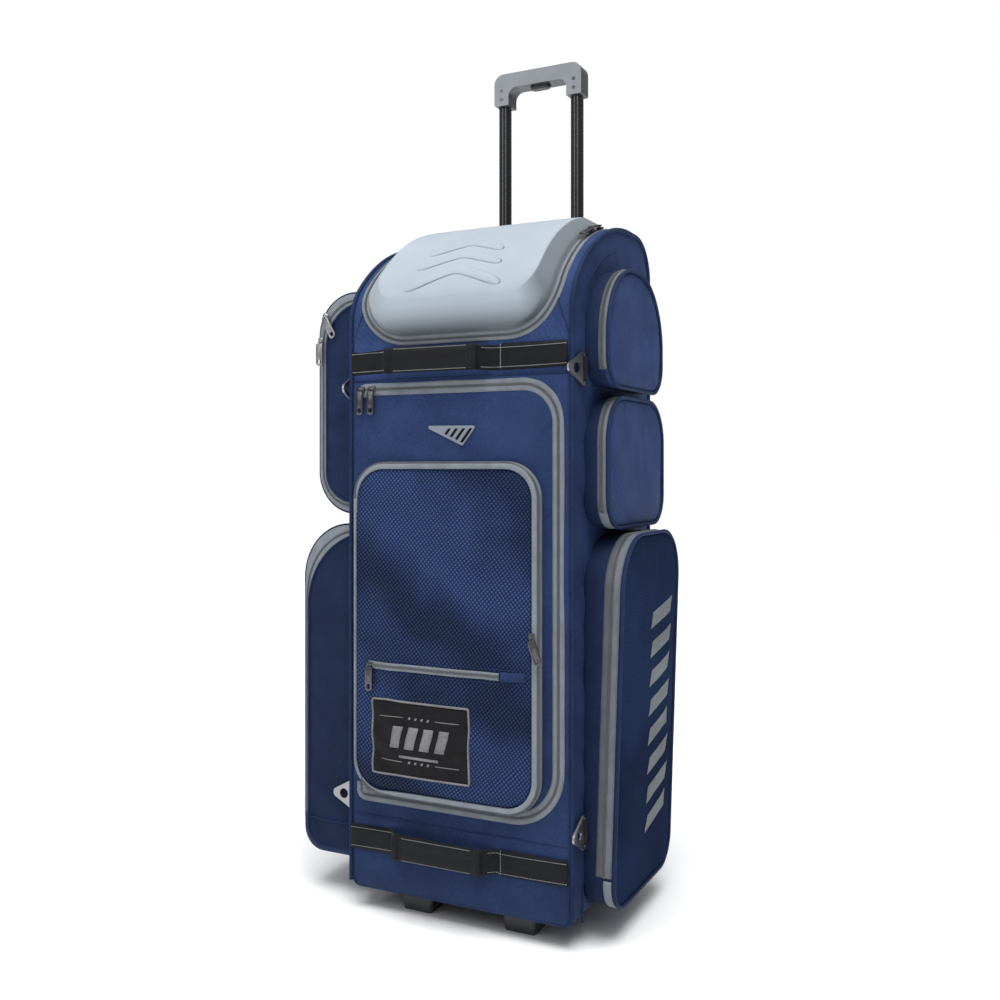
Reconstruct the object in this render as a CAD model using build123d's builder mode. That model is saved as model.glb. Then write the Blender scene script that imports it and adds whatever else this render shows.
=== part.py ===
from build123d import *
import os
from math import cos, radians, sin

os.makedirs("parts", exist_ok=True)

# A wheeled equipment bag that stands upright. Millimetres, +X to the bag's own right as seen from
# the front, +Y to the back, +Z up. The floor is Z = 0. Names of heights are heights above the floor,
# x values are measured from the body's middle, and y values from the body's front face.

# Body
BODY_WIDTH = 340
BODY_DEPTH = 305
BODY_BASE = 32
WALL = 6
SHOULDER_START = 828
SHOULDER_RADIUS = 85
SHOULDER_TURN = 42
CROWN_RADIUS = 262.7
BACK_RADIUS = 60
YOKE_SEAM = 750
GAP = 0.4

# Where the body stands in the part's frame, so that the frame's origin is under the middle of it all
LEFT_REACH = 107
RIGHT_REACH = 60
FRONT_REACH = 24
BACK_REACH = 20
BODY_X = (LEFT_REACH - RIGHT_REACH) / 2
BODY_Y = (FRONT_REACH - BACK_REACH - BODY_DEPTH) / 2

SIDE = BODY_WIDTH / 2
INSIDE = SIDE - WALL
CROWN_Y = SHOULDER_RADIUS + (CROWN_RADIUS - SHOULDER_RADIUS) * cos(radians(SHOULDER_TURN))
CROWN_Z = SHOULDER_START - (CROWN_RADIUS - SHOULDER_RADIUS) * sin(radians(SHOULDER_TURN))
BODY_TOP = CROWN_Z + CROWN_RADIUS
BACK_SHOULDER = BODY_TOP - BACK_RADIUS

# Door, pouch and patch on the front
DOOR = (-160, 160, 157, 746)
DOOR_RADII = (14, 75, 60, 14)
POUCH = (-155, 129, 173, 634)
POUCH_RADIUS = 48
POUCH_RISE = 18
POUCH_WALL = 4
POUCH_RIM = 8
PATCH = (-120, 32, 206, 308)
PATCH_RISE = 2

# Lid
LID = (-158, 158, 796, 1010)
LID_RADIUS = 80
LID_HINGE_Y = 225
LID_FLANGE = 14
LID_FLANGE_RISE = 4
LID_RISE = 22
LID_SKIN = 5
LID_BACK = 195

# Trolley handle
ROD_X = 62.5
ROD_Y = 280
ROD_RADIUS = 10
ROD_WALL = 1.2
ROD_LOW = 860
SLEEVE_RADIUS = 12.5
SLEEVE_WALL = 2
BRACKET_TOP = 62
BEZEL = (-88, 88, 264, 300, 932, 975)
GRIP_LOW = 1208
GRIP_HIGH = 1258
GRIP_HALF = 75
GRIP_LEG = 25
GRIP_BAR = 23
GRIP_HALF_DEPTH = 15
BUTTON_LOW = 1229
BUTTON_HEIGHT = 13
BUTTON_TRAVEL = 4

# Wheels and base
WHEEL_RADIUS = 38
HUB_RADIUS = 28
WHEEL_WIDTH = 26
WHEEL_X = 141
WHEEL_Y = 287
AXLE_RADIUS = 4
AXLE_LENGTH = 48
HOUSING_X = 112
HOUSING_Y = 240
HOUSING_TOP = 92
HOUSING_LOW = 24
WHEEL_GAP = 3
HUB_BOSS = 5
FOOT_X = 80
FOOT_Y = 52
FOOT_SIZE = (54, 50)
FOOT_TAPER = 11
TRAY = (-118, 118, 22, 232)
TRAY_LOW = 26
FOOT_BAR_Y = (34, 50)
FOOT_BAR_LOW = 18
TRAY_SCREWS = [(-105, 92), (105, 92), (-105, 215), (105, 215), (0, 92), (0, 215)]
SCREW_RADIUS = 2

# Pockets: (front y, back y, low, high, depth, depth at the bottom, top radius, bottom radius, seam)
POCKET_WALL = 4
ZIP_BAND = 14
RIGHT_POCKETS = {
    "right_top": (30, 250, 734, 898, 38, 38, 100, 42, 753),
    "right_middle": (30, 255, 547, 722, 38, 38, 60, 42, 566),
    "right_lower": (30, 265, 46, 538, RIGHT_REACH, 44, 72, 42, 92),
}
# Left pockets: (front y, back y, low, high, depth, top radius, bottom radius)
LEFT_UPPER = (30, 255, 562, 883, 80, 60, 60)
LEFT_LOWER = (30, 255, 58, 544, LEFT_REACH, 80, 34)
LEFT_SEAM = 108

# Triangle rings: (side, height, angle of the ring away from straight ahead, outwards positive)
RING_STANDOFF = 8
RING_Y = 22
RING_APEX = 45
RING_SLOT = 4.5
RING_HALF = 22
RING_THICK = 3
RING_BAR = 1.5
RING_HOLE = 7
RING_HOLE_X = 19
RINGS = {
    "ring_upper_right": (1, 756, -12),
    "ring_lower_right": (1, 154, 0),
    "ring_upper_left": (-1, 740, -6),
    "ring_lower_left": (-1, 154, 90),
}


def side_plane(x):
    """A plane facing right at this x: its own x runs to the back and its own y runs up."""
    return Plane(origin=(BODY_X + x, BODY_Y, 0), x_dir=(0, 1, 0), z_dir=(1, 0, 0))


def front_plane(y):
    """A plane facing forwards at this y: its own x runs right and its own y runs up."""
    return Plane(origin=(BODY_X, BODY_Y + y, 0), x_dir=(1, 0, 0), z_dir=(0, -1, 0))


def level_plane(z):
    """A level plane at this height: its own x runs right and its own y runs to the back."""
    return Plane(origin=(BODY_X, BODY_Y, z))


def block(x, y, z, mode=Mode.ADD):
    """A box between two values of each axis, in the part that is being built."""
    middle = (BODY_X + (x[0] + x[1]) / 2, BODY_Y + (y[0] + y[1]) / 2, (z[0] + z[1]) / 2)
    with Locations(middle):
        Box(x[1] - x[0], y[1] - y[0], z[1] - z[0], mode=mode)


def peg(x, y, low, high, radius, mode=Mode.ADD):
    """An upright cylinder, in the part that is being built."""
    with Locations((BODY_X + x, BODY_Y + y, (low + high) / 2)):
        Cylinder(radius, high - low, mode=mode)


def axle(x, y, z, length, radius, mode=Mode.ADD):
    """A cylinder lying along X, in the part that is being built."""
    with Locations((BODY_X + x, BODY_Y + y, z)):
        Cylinder(radius, length, rotation=(0, 90, 0), mode=mode)


def soft_rectangle(left, right, low, high, radii):
    """A rectangle with its own radius at each corner: low left, low right, high right, high left."""
    corners = [(left, low), (right, low), (right, high), (left, high)]
    with BuildSketch() as outline:
        with BuildLine():
            Polyline(*corners, close=True)
        make_face()
        for corner, radius in zip(corners, radii):
            if radius:
                fillet(outline.vertices().sort_by_distance(corner)[0], radius)
    return outline.sketch


def save(builder, name):
    """Label a finished piece and write its STEP file."""
    builder.part.label = name
    export_step(builder.part, f"parts/{name}.step")


# ---- Body panels ----

with BuildSketch() as side_profile:
    with BuildLine():
        front = Line((0, BODY_BASE), (0, SHOULDER_START))
        shoulder = JernArc(front @ 1, front % 1, SHOULDER_RADIUS, -SHOULDER_TURN)
        crown = JernArc(shoulder @ 1, shoulder % 1, CROWN_RADIUS, SHOULDER_TURN - 90)
        ridge = Line(crown @ 1, (BODY_DEPTH - BACK_RADIUS, BODY_TOP))
        back_round = JernArc(ridge @ 1, ridge % 1, BACK_RADIUS, -90)
        Polyline(back_round @ 1, (BODY_DEPTH, BODY_BASE), front @ 0)
    make_face()


def profile_band(half_width, low, high):
    """The solid between two offsets of the body's side profile, across the bag's width."""
    with BuildPart() as band:
        with BuildSketch(side_plane(-half_width)):
            offset(side_profile.sketch, amount=high, mode=Mode.ADD)
            offset(side_profile.sketch, amount=low, mode=Mode.SUBTRACT)
        extrude(amount=2 * half_width)
    return band.part


def wrap_strip(y, z):
    """A stretch of the fabric that runs round the body between its two side panels."""
    with BuildPart() as strip:
        add(profile_band(INSIDE, -WALL, 0))
        block((-INSIDE, INSIDE), y, z, Mode.INTERSECT)
    return strip.part


def cut_wheel_corners():
    """Leave room for the two moulded wheel housings in the part that is being built."""
    for side in (-1, 1):
        x = sorted((side * HOUSING_X, side * (SIDE + 1)))
        block(x, (HOUSING_Y, BODY_DEPTH + 1), (BODY_BASE - 1, HOUSING_TOP), Mode.SUBTRACT)


for name, x in (("left_side_panel", -SIDE), ("right_side_panel", INSIDE)):
    with BuildPart() as side_panel:
        with BuildSketch(side_plane(x)):
            add(side_profile.sketch)
        extrude(amount=WALL)
        cut_wheel_corners()
    save(side_panel, name)

with BuildPart() as back_panel:
    add(wrap_strip((BODY_DEPTH - WALL, BODY_DEPTH), (BODY_BASE + WALL, BACK_SHOULDER)))
    cut_wheel_corners()
save(back_panel, "back_panel")

with BuildPart() as bottom_panel:
    add(wrap_strip((0, BODY_DEPTH), (BODY_BASE, BODY_BASE + WALL)))
    cut_wheel_corners()
    for x, y in TRAY_SCREWS:
        peg(x, y, BODY_BASE - 1, BODY_BASE + WALL + 1, SCREW_RADIUS + 0.1, Mode.SUBTRACT)
save(bottom_panel, "bottom_panel")

door_outline = soft_rectangle(*DOOR, DOOR_RADII)

with BuildPart() as front_panel:
    add(wrap_strip((0, WALL), (BODY_BASE + WALL, YOKE_SEAM)))
    with BuildSketch(front_plane(-1)):
        offset(door_outline, amount=1)
    extrude(amount=-WALL - 2, mode=Mode.SUBTRACT)
save(front_panel, "front_panel")

lid_outline = soft_rectangle(*LID, (LID_RADIUS, LID_RADIUS, 0, 0))

with BuildPart() as top_panel:
    add(wrap_strip((0, BODY_DEPTH), (YOKE_SEAM, BODY_TOP + 1)))
    block((-INSIDE, INSIDE), (BODY_DEPTH - WALL, BODY_DEPTH), (YOKE_SEAM, BACK_SHOULDER), Mode.SUBTRACT)
    with BuildSketch(front_plane(0)):
        offset(lid_outline, amount=-LID_FLANGE)
    extrude(amount=-(LID_HINGE_Y - LID_FLANGE), mode=Mode.SUBTRACT)
    bezel_x = (BEZEL[0] - 0.2, BEZEL[1] + 0.2)
    block(bezel_x, (BEZEL[2] - 0.2, BEZEL[3] + 0.2), (BEZEL[4] - 0.2, BEZEL[5]), Mode.SUBTRACT)
save(top_panel, "top_panel")

# The lining covers the handle's tubes on the inside of the back.
LINING_Y = 258
LINING_THICK = 2
LINING_TOP = 935
with BuildPart() as back_lining:
    lining_y = (LINING_Y, LINING_Y + LINING_THICK)
    block((-INSIDE + GAP, INSIDE - GAP), lining_y, (HOUSING_TOP + 2, LINING_TOP))
save(back_lining, "back_lining")

# ---- Base, housings and wheels ----

with BuildPart() as base_tray:
    block(TRAY[0:2], TRAY[2:4], (TRAY_LOW, BODY_BASE))
    for side in (-1, 1):
        with BuildSketch(level_plane(TRAY_LOW)):
            with Locations((side * FOOT_X, FOOT_Y)):
                RectangleRounded(*FOOT_SIZE, 8)
        extrude(amount=-TRAY_LOW, taper=FOOT_TAPER)
    block((-FOOT_X, FOOT_X), FOOT_BAR_Y, (FOOT_BAR_LOW, TRAY_LOW + 1))
    for x, y in TRAY_SCREWS:
        peg(x, y, FOOT_BAR_LOW, BODY_BASE + 1, SCREW_RADIUS + 0.1, Mode.SUBTRACT)
save(base_tray, "base_tray")

with BuildPart() as base_screws:
    for x, y in TRAY_SCREWS:
        peg(x, y, TRAY_LOW - 2.5, TRAY_LOW - 0.1, 4.5)
        peg(x, y, TRAY_LOW - 2.5, BODY_BASE + WALL + 1.5, SCREW_RADIUS)
save(base_screws, "base_screws")

with BuildPart() as wheel_housings:
    for side in (-1, 1):
        x = sorted((side * (HOUSING_X + 0.2), side * SIDE))
        block(x, (HOUSING_Y + 0.2, BODY_DEPTH), (HOUSING_LOW, HOUSING_TOP - 0.2))
        axle(side * WHEEL_X, WHEEL_Y, WHEEL_RADIUS, WHEEL_WIDTH + 4, WHEEL_RADIUS + WHEEL_GAP, Mode.SUBTRACT)
        axle(side * WHEEL_X, WHEEL_Y, WHEEL_RADIUS, AXLE_LENGTH + 2, AXLE_RADIUS + 0.02, Mode.SUBTRACT)
save(wheel_housings, "wheel_housings")

with BuildPart() as wheel_axles:
    for side in (-1, 1):
        axle(side * WHEEL_X, WHEEL_Y, WHEEL_RADIUS, AXLE_LENGTH, AXLE_RADIUS)
save(wheel_axles, "wheel_axles")

for name, side in (("left_wheel", -1), ("right_wheel", 1)):
    with BuildPart() as hub:
        axle(side * WHEEL_X, WHEEL_Y, WHEEL_RADIUS, WHEEL_WIDTH - 4, HUB_RADIUS)
        axle(side * WHEEL_X, WHEEL_Y, WHEEL_RADIUS, WHEEL_WIDTH, AXLE_RADIUS + HUB_BOSS)
        axle(side * WHEEL_X, WHEEL_Y, WHEEL_RADIUS, WHEEL_WIDTH + 2, AXLE_RADIUS + 0.06, Mode.SUBTRACT)
    save(hub, name + "_hub")
    with BuildPart() as tyre:
        axle(side * WHEEL_X, WHEEL_Y, WHEEL_RADIUS, WHEEL_WIDTH, WHEEL_RADIUS)
        axle(side * WHEEL_X, WHEEL_Y, WHEEL_RADIUS, WHEEL_WIDTH + 2, HUB_RADIUS, Mode.SUBTRACT)
        fillet(tyre.edges().filter_by(GeomType.CIRCLE).sort_by(SortBy.RADIUS)[-2:], 5)
    save(tyre, name + "_tyre")

# ---- Trolley handle ----

with BuildPart() as handle_bracket:
    block((-86, 86), (264, BODY_DEPTH - WALL - 0.2), (BODY_BASE + WALL, BRACKET_TOP))
    for side in (-1, 1):
        peg(side * ROD_X, ROD_Y, 46, BRACKET_TOP + 1, SLEEVE_RADIUS + 0.1, Mode.SUBTRACT)
save(handle_bracket, "handle_bracket")

SLEEVE_TOP = 959
with BuildPart() as handle_sleeves:
    for side in (-1, 1):
        peg(side * ROD_X, ROD_Y, 46.2, SLEEVE_TOP, SLEEVE_RADIUS)
        peg(side * ROD_X, ROD_Y, 46, SLEEVE_TOP + 1, SLEEVE_RADIUS - SLEEVE_WALL + 0.2, Mode.SUBTRACT)
save(handle_sleeves, "handle_sleeves")

with BuildPart() as handle_bezel:
    block(BEZEL[0:2], BEZEL[2:4], BEZEL[4:6])
    fillet(handle_bezel.edges().group_by(Axis.Z)[-1], 3)
    for side in (-1, 1):
        peg(side * ROD_X, ROD_Y, BEZEL[4] - 1, SLEEVE_TOP + 0.2, SLEEVE_RADIUS + 0.1, Mode.SUBTRACT)
        peg(side * ROD_X, ROD_Y, BEZEL[4] - 1, BEZEL[5] + 1, ROD_RADIUS + 0.6, Mode.SUBTRACT)
save(handle_bezel, "handle_bezel")

ROD_HIGH = GRIP_LOW + 30
with BuildPart() as handle_rods:
    for side in (-1, 1):
        peg(side * ROD_X, ROD_Y, ROD_LOW, ROD_HIGH, ROD_RADIUS)
        peg(side * ROD_X, ROD_Y, ROD_LOW - 1, ROD_HIGH + 1, ROD_RADIUS - ROD_WALL, Mode.SUBTRACT)
save(handle_rods, "handle_rods")

with BuildSketch() as grip_outline:
    add(soft_rectangle(-GRIP_HALF, GRIP_HALF, GRIP_LOW, GRIP_HIGH, (3, 3, 16, 16)))
    opening = GRIP_HALF - GRIP_LEG
    arch = soft_rectangle(-opening, opening, GRIP_LOW - 5, GRIP_HIGH - GRIP_BAR, (0, 0, 14, 14))
    add(arch, mode=Mode.SUBTRACT)

SCREW_SPOTS = [(side * ROD_X, z) for side in (-1, 1) for z in (GRIP_LOW + 10, GRIP_LOW + 24)]
for name, y in (("grip_front_shell", ROD_Y), ("grip_rear_shell", ROD_Y + GRIP_HALF_DEPTH)):
    with BuildPart() as shell:
        with BuildSketch(front_plane(y)):
            add(grip_outline.sketch)
        extrude(amount=GRIP_HALF_DEPTH - 0.05)
        for side in (-1, 1):
            peg(side * ROD_X, ROD_Y, GRIP_LOW - 1, ROD_HIGH + 0.5, ROD_RADIUS + 0.05, Mode.SUBTRACT)
        button_room = (BUTTON_LOW - 1, BUTTON_LOW + BUTTON_HEIGHT + BUTTON_TRAVEL + 1)
        block((-16.5, 16.5), (ROD_Y - 7.5, ROD_Y + 7.5), button_room, Mode.SUBTRACT)
        with Locations([front_plane(ROD_Y - GRIP_HALF_DEPTH) * Pos(x, z, 0) for x, z in SCREW_SPOTS]):
            Cylinder(3.1, 3, mode=Mode.SUBTRACT)
            Cylinder(1.6, 12, mode=Mode.SUBTRACT)
    save(shell, name)

with BuildPart() as grip_screws:
    with Locations([front_plane(ROD_Y - GRIP_HALF_DEPTH + 0.7) * Pos(x, z, 0) for x, z in SCREW_SPOTS]):
        Cylinder(3, 1.4)
    with Locations([front_plane(ROD_Y - GRIP_HALF_DEPTH + 2.4) * Pos(x, z, 0) for x, z in SCREW_SPOTS]):
        Cylinder(1.5, 4.6)
save(grip_screws, "grip_screws")

with BuildPart() as release_button:
    with BuildSketch(level_plane(BUTTON_LOW)):
        with Locations((0, ROD_Y)):
            SlotOverall(32, 14)
    extrude(amount=BUTTON_HEIGHT)
    fillet(release_button.edges().group_by(Axis.Z)[0], 2)
save(release_button, "release_button")

# ---- Grab straps ----


def grab_strap(name, z, height, grip):
    """Webbing sewn flat at both ends that stands off the front between them, and its padded grip."""
    standoff = -18
    lead = 16
    path = [
        (-SIDE + 2, -1.2),
        (grip[0] - lead - 6, -1.2),
        (grip[0] - 3, standoff),
        (grip[1] + 3, standoff),
        (grip[1] + lead + 6, -1.2),
        (SIDE - 5, -1.2),
    ]
    with BuildPart() as strap:
        with BuildSketch(level_plane(z - height / 2)):
            with BuildLine():
                FilletPolyline(*path, radius=6)
            trace(line_width=2)
        extrude(amount=height)
    save(strap, name)
    with BuildPart() as sleeve:
        block(grip, (standoff - 6, standoff + 6), (z - height / 2 - 1, z + height / 2 + 1))
        fillet(sleeve.edges().filter_by(Axis.X), 4)
        block((grip[0] - 1, grip[1] + 1), (standoff - 1.2, standoff + 1.2),
              (z - height / 2 - 0.3, z + height / 2 + 0.3), Mode.SUBTRACT)
    return sleeve.part


with BuildPart() as strap_grips:
    add(grab_strap("top_grab_strap", 775, 34, (-97, 37)))
    add(grab_strap("bottom_grab_strap", 105, 34, (-84, 43)))
save(strap_grips, "strap_grips")

# ---- Triangle rings and their tabs ----


def ring_axis_x(side):
    return side * (SIDE + RING_STANDOFF)


with BuildSketch() as ring_outline:
    with BuildLine():
        Polyline((RING_SLOT, -RING_HALF), (RING_APEX, 0), (RING_SLOT, RING_HALF), close=True)
    make_face()
    fillet(ring_outline.vertices().sort_by(Axis.X)[-1], 7)
    with Locations((RING_HOLE_X, 0)):
        Circle(RING_HOLE, mode=Mode.SUBTRACT)

for name, (side, z, angle) in RINGS.items():
    ahead = (side * sin(radians(angle)), -cos(radians(angle)), 0)
    across = Vector(*ahead).cross(Vector(0, 0, 1))
    origin = (BODY_X + ring_axis_x(side), BODY_Y + RING_Y, z)
    ring_plane = Plane(origin=origin, x_dir=ahead, z_dir=across)
    with BuildPart() as ring:
        with BuildSketch(ring_plane):
            add(ring_outline.sketch)
        extrude(amount=RING_THICK / 2, both=True)
        for end in (-1, 1):
            with Locations(ring_plane * Pos(3, end * (RING_HALF - 1.5), 0)):
                Box(6, 3, RING_THICK)
        with Locations(ring_plane * Rot(90, 0, 0)):
            Cylinder(RING_BAR, 2 * RING_HALF)
    save(ring, name)

with BuildPart() as ring_tabs:
    for side, z, angle in RINGS.values():
        x = ring_axis_x(side)
        low = z - 17
        high = z + 17
        peg(x, RING_Y, low, high, 3.4)
        block(sorted((side * (SIDE + 0.1), x + side)), (RING_Y + 2, RING_Y + 7), (low, high))
        peg(x, RING_Y, low - 1, high + 1, RING_BAR + 0.4, Mode.SUBTRACT)
save(ring_tabs, "ring_tabs")

# ---- Door, vent, pouch and patch ----

with BuildPart() as door_panel:
    with BuildSketch(front_plane(0)):
        add(door_outline)
    extrude(amount=-WALL)
save(door_panel, "door_panel")

VENT_LEAN = 0.78


def vent_slot_foot(x):
    """Where a slot's slanting edge that starts at x ends, a rim's width above the vent's lower edge."""
    z = 669.6 - 0.334 * x
    return (x - VENT_LEAN * (680.5 - z), z)


with BuildPart() as door_vent:
    with BuildSketch(front_plane(-0.1)) as vent_face:
        with BuildLine():
            Polyline((-51, 685), (11, 657), (32, 684), close=True)
        make_face()
        fillet(vent_face.vertices(), 2.5)
        for step in range(4):
            x = -11.5 + 11 * step
            near_foot = vent_slot_foot(x)
            far_foot = vent_slot_foot(x + 5.5)
            with BuildLine():
                Polyline((x, 680.5), (x + 5.5, 680.5), far_foot, near_foot, close=True)
            make_face(mode=Mode.SUBTRACT)
    extrude(amount=2.4)
save(door_vent, "door_vent")

pouch_outline = soft_rectangle(*POUCH, (POUCH_RADIUS,) * 4)

with BuildPart() as pouch_panel:
    with BuildSketch(front_plane(-GAP)):
        add(pouch_outline)
    extrude(amount=POUCH_RISE - GAP)
    fillet(pouch_panel.faces().sort_by(Axis.Y)[0].edges(), 3)
    with BuildSketch(front_plane(-GAP)):
        offset(pouch_outline, amount=-POUCH_RIM)
    extrude(amount=POUCH_RISE - GAP - POUCH_WALL, mode=Mode.SUBTRACT)
save(pouch_panel, "pouch_panel")

with BuildPart() as pouch_patch:
    with BuildSketch(front_plane(-POUCH_RISE - 0.05)):
        add(soft_rectangle(*PATCH, (3, 3, 3, 3)))
    extrude(amount=PATCH_RISE)
save(pouch_patch, "pouch_patch")

# ---- Lid ----

with BuildPart() as lid_flange:
    add(profile_band(SIDE, GAP, LID_FLANGE_RISE))
    with BuildSketch(front_plane(-LID_RISE - 1)):
        add(lid_outline)
    extrude(amount=-(LID_RISE + LID_HINGE_Y + 0.5), mode=Mode.INTERSECT)

with BuildPart() as lid_hollow:
    add(profile_band(SIDE, -1, LID_RISE - LID_SKIN))
    with BuildSketch(front_plane(-LID_RISE - 1)):
        offset(lid_outline, amount=-LID_FLANGE - LID_SKIN)
    extrude(amount=-(LID_RISE + LID_BACK - LID_SKIN), mode=Mode.INTERSECT)

with BuildPart() as lid_shell:
    add(profile_band(SIDE, LID_FLANGE_RISE - 1, LID_RISE))
    with BuildSketch(front_plane(-LID_RISE - 1)):
        offset(lid_outline, amount=-LID_FLANGE)
    extrude(amount=-(LID_RISE + LID_BACK), mode=Mode.INTERSECT)
    add(lid_flange.part)
    add(lid_hollow.part, mode=Mode.SUBTRACT)
save(lid_shell, "lid_shell")

# ---- Side pockets ----


def leaning_prism(x, z, y):
    """A prism along Y whose left and right faces lean: x holds (left low, left high, right low, right high)."""
    with BuildPart() as prism:
        with BuildSketch(front_plane(y[0])):
            with BuildLine():
                Polyline((x[0], z[0]), (x[2], z[0]), (x[3], z[1]), (x[1], z[1]), close=True)
            make_face()
        extrude(amount=y[0] - y[1])
    return prism.part


def right_pocket(name, near, far, low, high, high_depth, low_depth, high_radius, low_radius, seam):
    """A box pocket on the right side: its gusset stays on the bag, and its flap folds down from the seam."""
    lean = (high_depth - low_depth) / (high - low)
    outer_low = SIDE + low_depth
    outer_high = SIDE + high_depth
    outer_seam = outer_low + lean * (seam - low)
    outline = soft_rectangle(near, far, low, high, (low_radius, low_radius, high_radius, high_radius))
    with BuildPart() as room:
        with BuildSketch(side_plane(SIDE - 1)):
            offset(outline, amount=-POCKET_WALL)
        extrude(amount=high_depth + 1)
        face = (SIDE - 2, SIDE - 2, outer_low - POCKET_WALL, outer_high - POCKET_WALL)
        add(leaning_prism(face, (low, high), (near, far)), mode=Mode.INTERSECT)
    flap_x = (outer_seam - ZIP_BAND, outer_high - ZIP_BAND, outer_seam + 40, outer_high + 40)
    flap_zone = leaning_prism(flap_x, (seam, high + 1), (near - 1, far + 1))
    with BuildPart() as pocket:
        with BuildSketch(side_plane(SIDE + GAP)):
            add(outline)
        extrude(amount=high_depth - GAP)
        face = (SIDE, SIDE, outer_low, outer_high)
        add(leaning_prism(face, (low, high), (near, far)), mode=Mode.INTERSECT)
        add(room.part, mode=Mode.SUBTRACT)
    with BuildPart() as gusset:
        add(pocket.part)
        add(flap_zone, mode=Mode.SUBTRACT)
    save(gusset, name + "_gusset")
    with BuildPart() as flap:
        add(pocket.part)
        add(flap_zone.moved(Location((GAP, 0, GAP))), mode=Mode.INTERSECT)
    save(flap, name + "_flap")


for name, sizes in RIGHT_POCKETS.items():
    right_pocket(name, *sizes)


def left_outline(sizes, inset):
    """A left pocket's outline seen from the front, drawn in by inset all round except at the bag."""
    low, high, depth, high_radius, low_radius = sizes
    edges = (-SIDE - depth + inset, -SIDE - GAP, low + inset, high - inset)
    return soft_rectangle(*edges, (low_radius - inset, 0, 0, high_radius - inset))


def left_pocket(near, far, *sizes):
    """The whole shell of a left pocket, open towards the bag."""
    with BuildPart() as pocket:
        with BuildSketch(front_plane(near)):
            add(left_outline(sizes, 0))
        extrude(amount=near - far)
        with BuildSketch(front_plane(near + POCKET_WALL)):
            add(left_outline(sizes, POCKET_WALL))
        extrude(amount=near - far + 2 * POCKET_WALL, mode=Mode.SUBTRACT)
    return pocket.part


def left_wall(y, sizes, inset):
    """The flat fabric wall inside the zip at one end of a left pocket."""
    with BuildPart() as wall:
        with BuildSketch(front_plane(y)):
            add(left_outline(sizes, inset))
        extrude(amount=-POCKET_WALL)
    return wall.part


near, far, *upper = LEFT_UPPER
with BuildPart() as left_upper_flap:
    add(left_pocket(*LEFT_UPPER))
    add(left_wall(near, upper, ZIP_BAND), mode=Mode.SUBTRACT)
save(left_upper_flap, "left_upper_flap")

with BuildPart() as left_upper_gusset:
    add(left_wall(near, upper, ZIP_BAND + GAP))
save(left_upper_gusset, "left_upper_gusset")

near, far, *lower = LEFT_LOWER
lower_x = (-SIDE - LEFT_REACH - 1, -SIDE)
lower_y = (near - 1, far + 1)
lower_low, lower_high = lower[0:2]
with BuildPart() as left_lower_flap:
    add(left_pocket(*LEFT_LOWER))
    for y in (near, far - POCKET_WALL):
        add(left_wall(y, lower, ZIP_BAND), mode=Mode.SUBTRACT)
    block(lower_x, lower_y, (lower_low - 1, LEFT_SEAM + GAP), Mode.SUBTRACT)
save(left_lower_flap, "left_lower_flap")

with BuildPart() as left_lower_gusset:
    add(left_pocket(*LEFT_LOWER))
    block(lower_x, lower_y, (LEFT_SEAM, lower_high + 1), Mode.SUBTRACT)
    for y in (near, far - POCKET_WALL):
        add(left_wall(y, lower, ZIP_BAND + GAP))
save(left_lower_gusset, "left_lower_gusset")

# ---- Zip sliders with their pulls ----

SLIDER_LENGTH = 12
SLIDER_WIDTH = 9
SLIDER_HEIGHT = 5
PULL_LENGTH = 40
PULL_WIDTH = 8
PULL_THICK = 1.6


def spot(plane, x, y):
    """The same plane with its origin moved to a point on it."""
    return Plane(plane.from_local_coords((x, y, 0)), x_dir=plane.x_dir, z_dir=plane.z_dir)


def zip_slider(name, plane, along, swing=0):
    """A slider on its zip, and the pull that hangs from it: along is the zip's angle from level."""
    with BuildPart() as slider:
        with Locations(plane * Rot(0, 0, along)):
            Box(SLIDER_LENGTH, SLIDER_WIDTH, SLIDER_HEIGHT, align=(Align.CENTER, Align.CENTER, Align.MIN))
        with BuildSketch(plane.offset(SLIDER_HEIGHT)):
            with Locations(Pos(0, 0) * Rot(0, 0, swing) * Pos(0, 4 - PULL_LENGTH / 2)):
                RectangleRounded(PULL_WIDTH, PULL_LENGTH, 3)
            with Locations(Pos(0, 0) * Rot(0, 0, swing) * Pos(0, 9 - PULL_LENGTH)):
                SlotOverall(7, 4, rotation=90, mode=Mode.SUBTRACT)
        extrude(amount=PULL_THICK)
    save(slider, name)


def crown_plane(angle):
    """A plane on the lid's flange, this far round the crown's arc from its highest line."""
    reach = CROWN_RADIUS + LID_FLANGE_RISE + GAP
    y = BODY_Y + CROWN_Y - reach * sin(radians(angle))
    z = CROWN_Z + reach * cos(radians(angle))
    lean = (0, -sin(radians(angle)), cos(radians(angle)))
    return Plane(origin=(BODY_X, y, z), x_dir=(1, 0, 0), z_dir=lean)


def back_plane(y):
    """A plane facing the back at this y: its own x runs left and its own y runs up."""
    return Plane(origin=(BODY_X, BODY_Y + y, 0), x_dir=(-1, 0, 0), z_dir=(0, 1, 0))


zip_slider("door_slider_left", spot(front_plane(-GAP), -152, 738), 0)
zip_slider("door_slider_right", spot(front_plane(-GAP), -134, 738), 0)
zip_slider("pouch_slider", spot(front_plane(-POUCH_RISE - GAP), 122, 408), 90, 18)
zip_slider("pouch_top_slider", spot(front_plane(-POUCH_RISE - GAP), -125, 354), 0)

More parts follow.
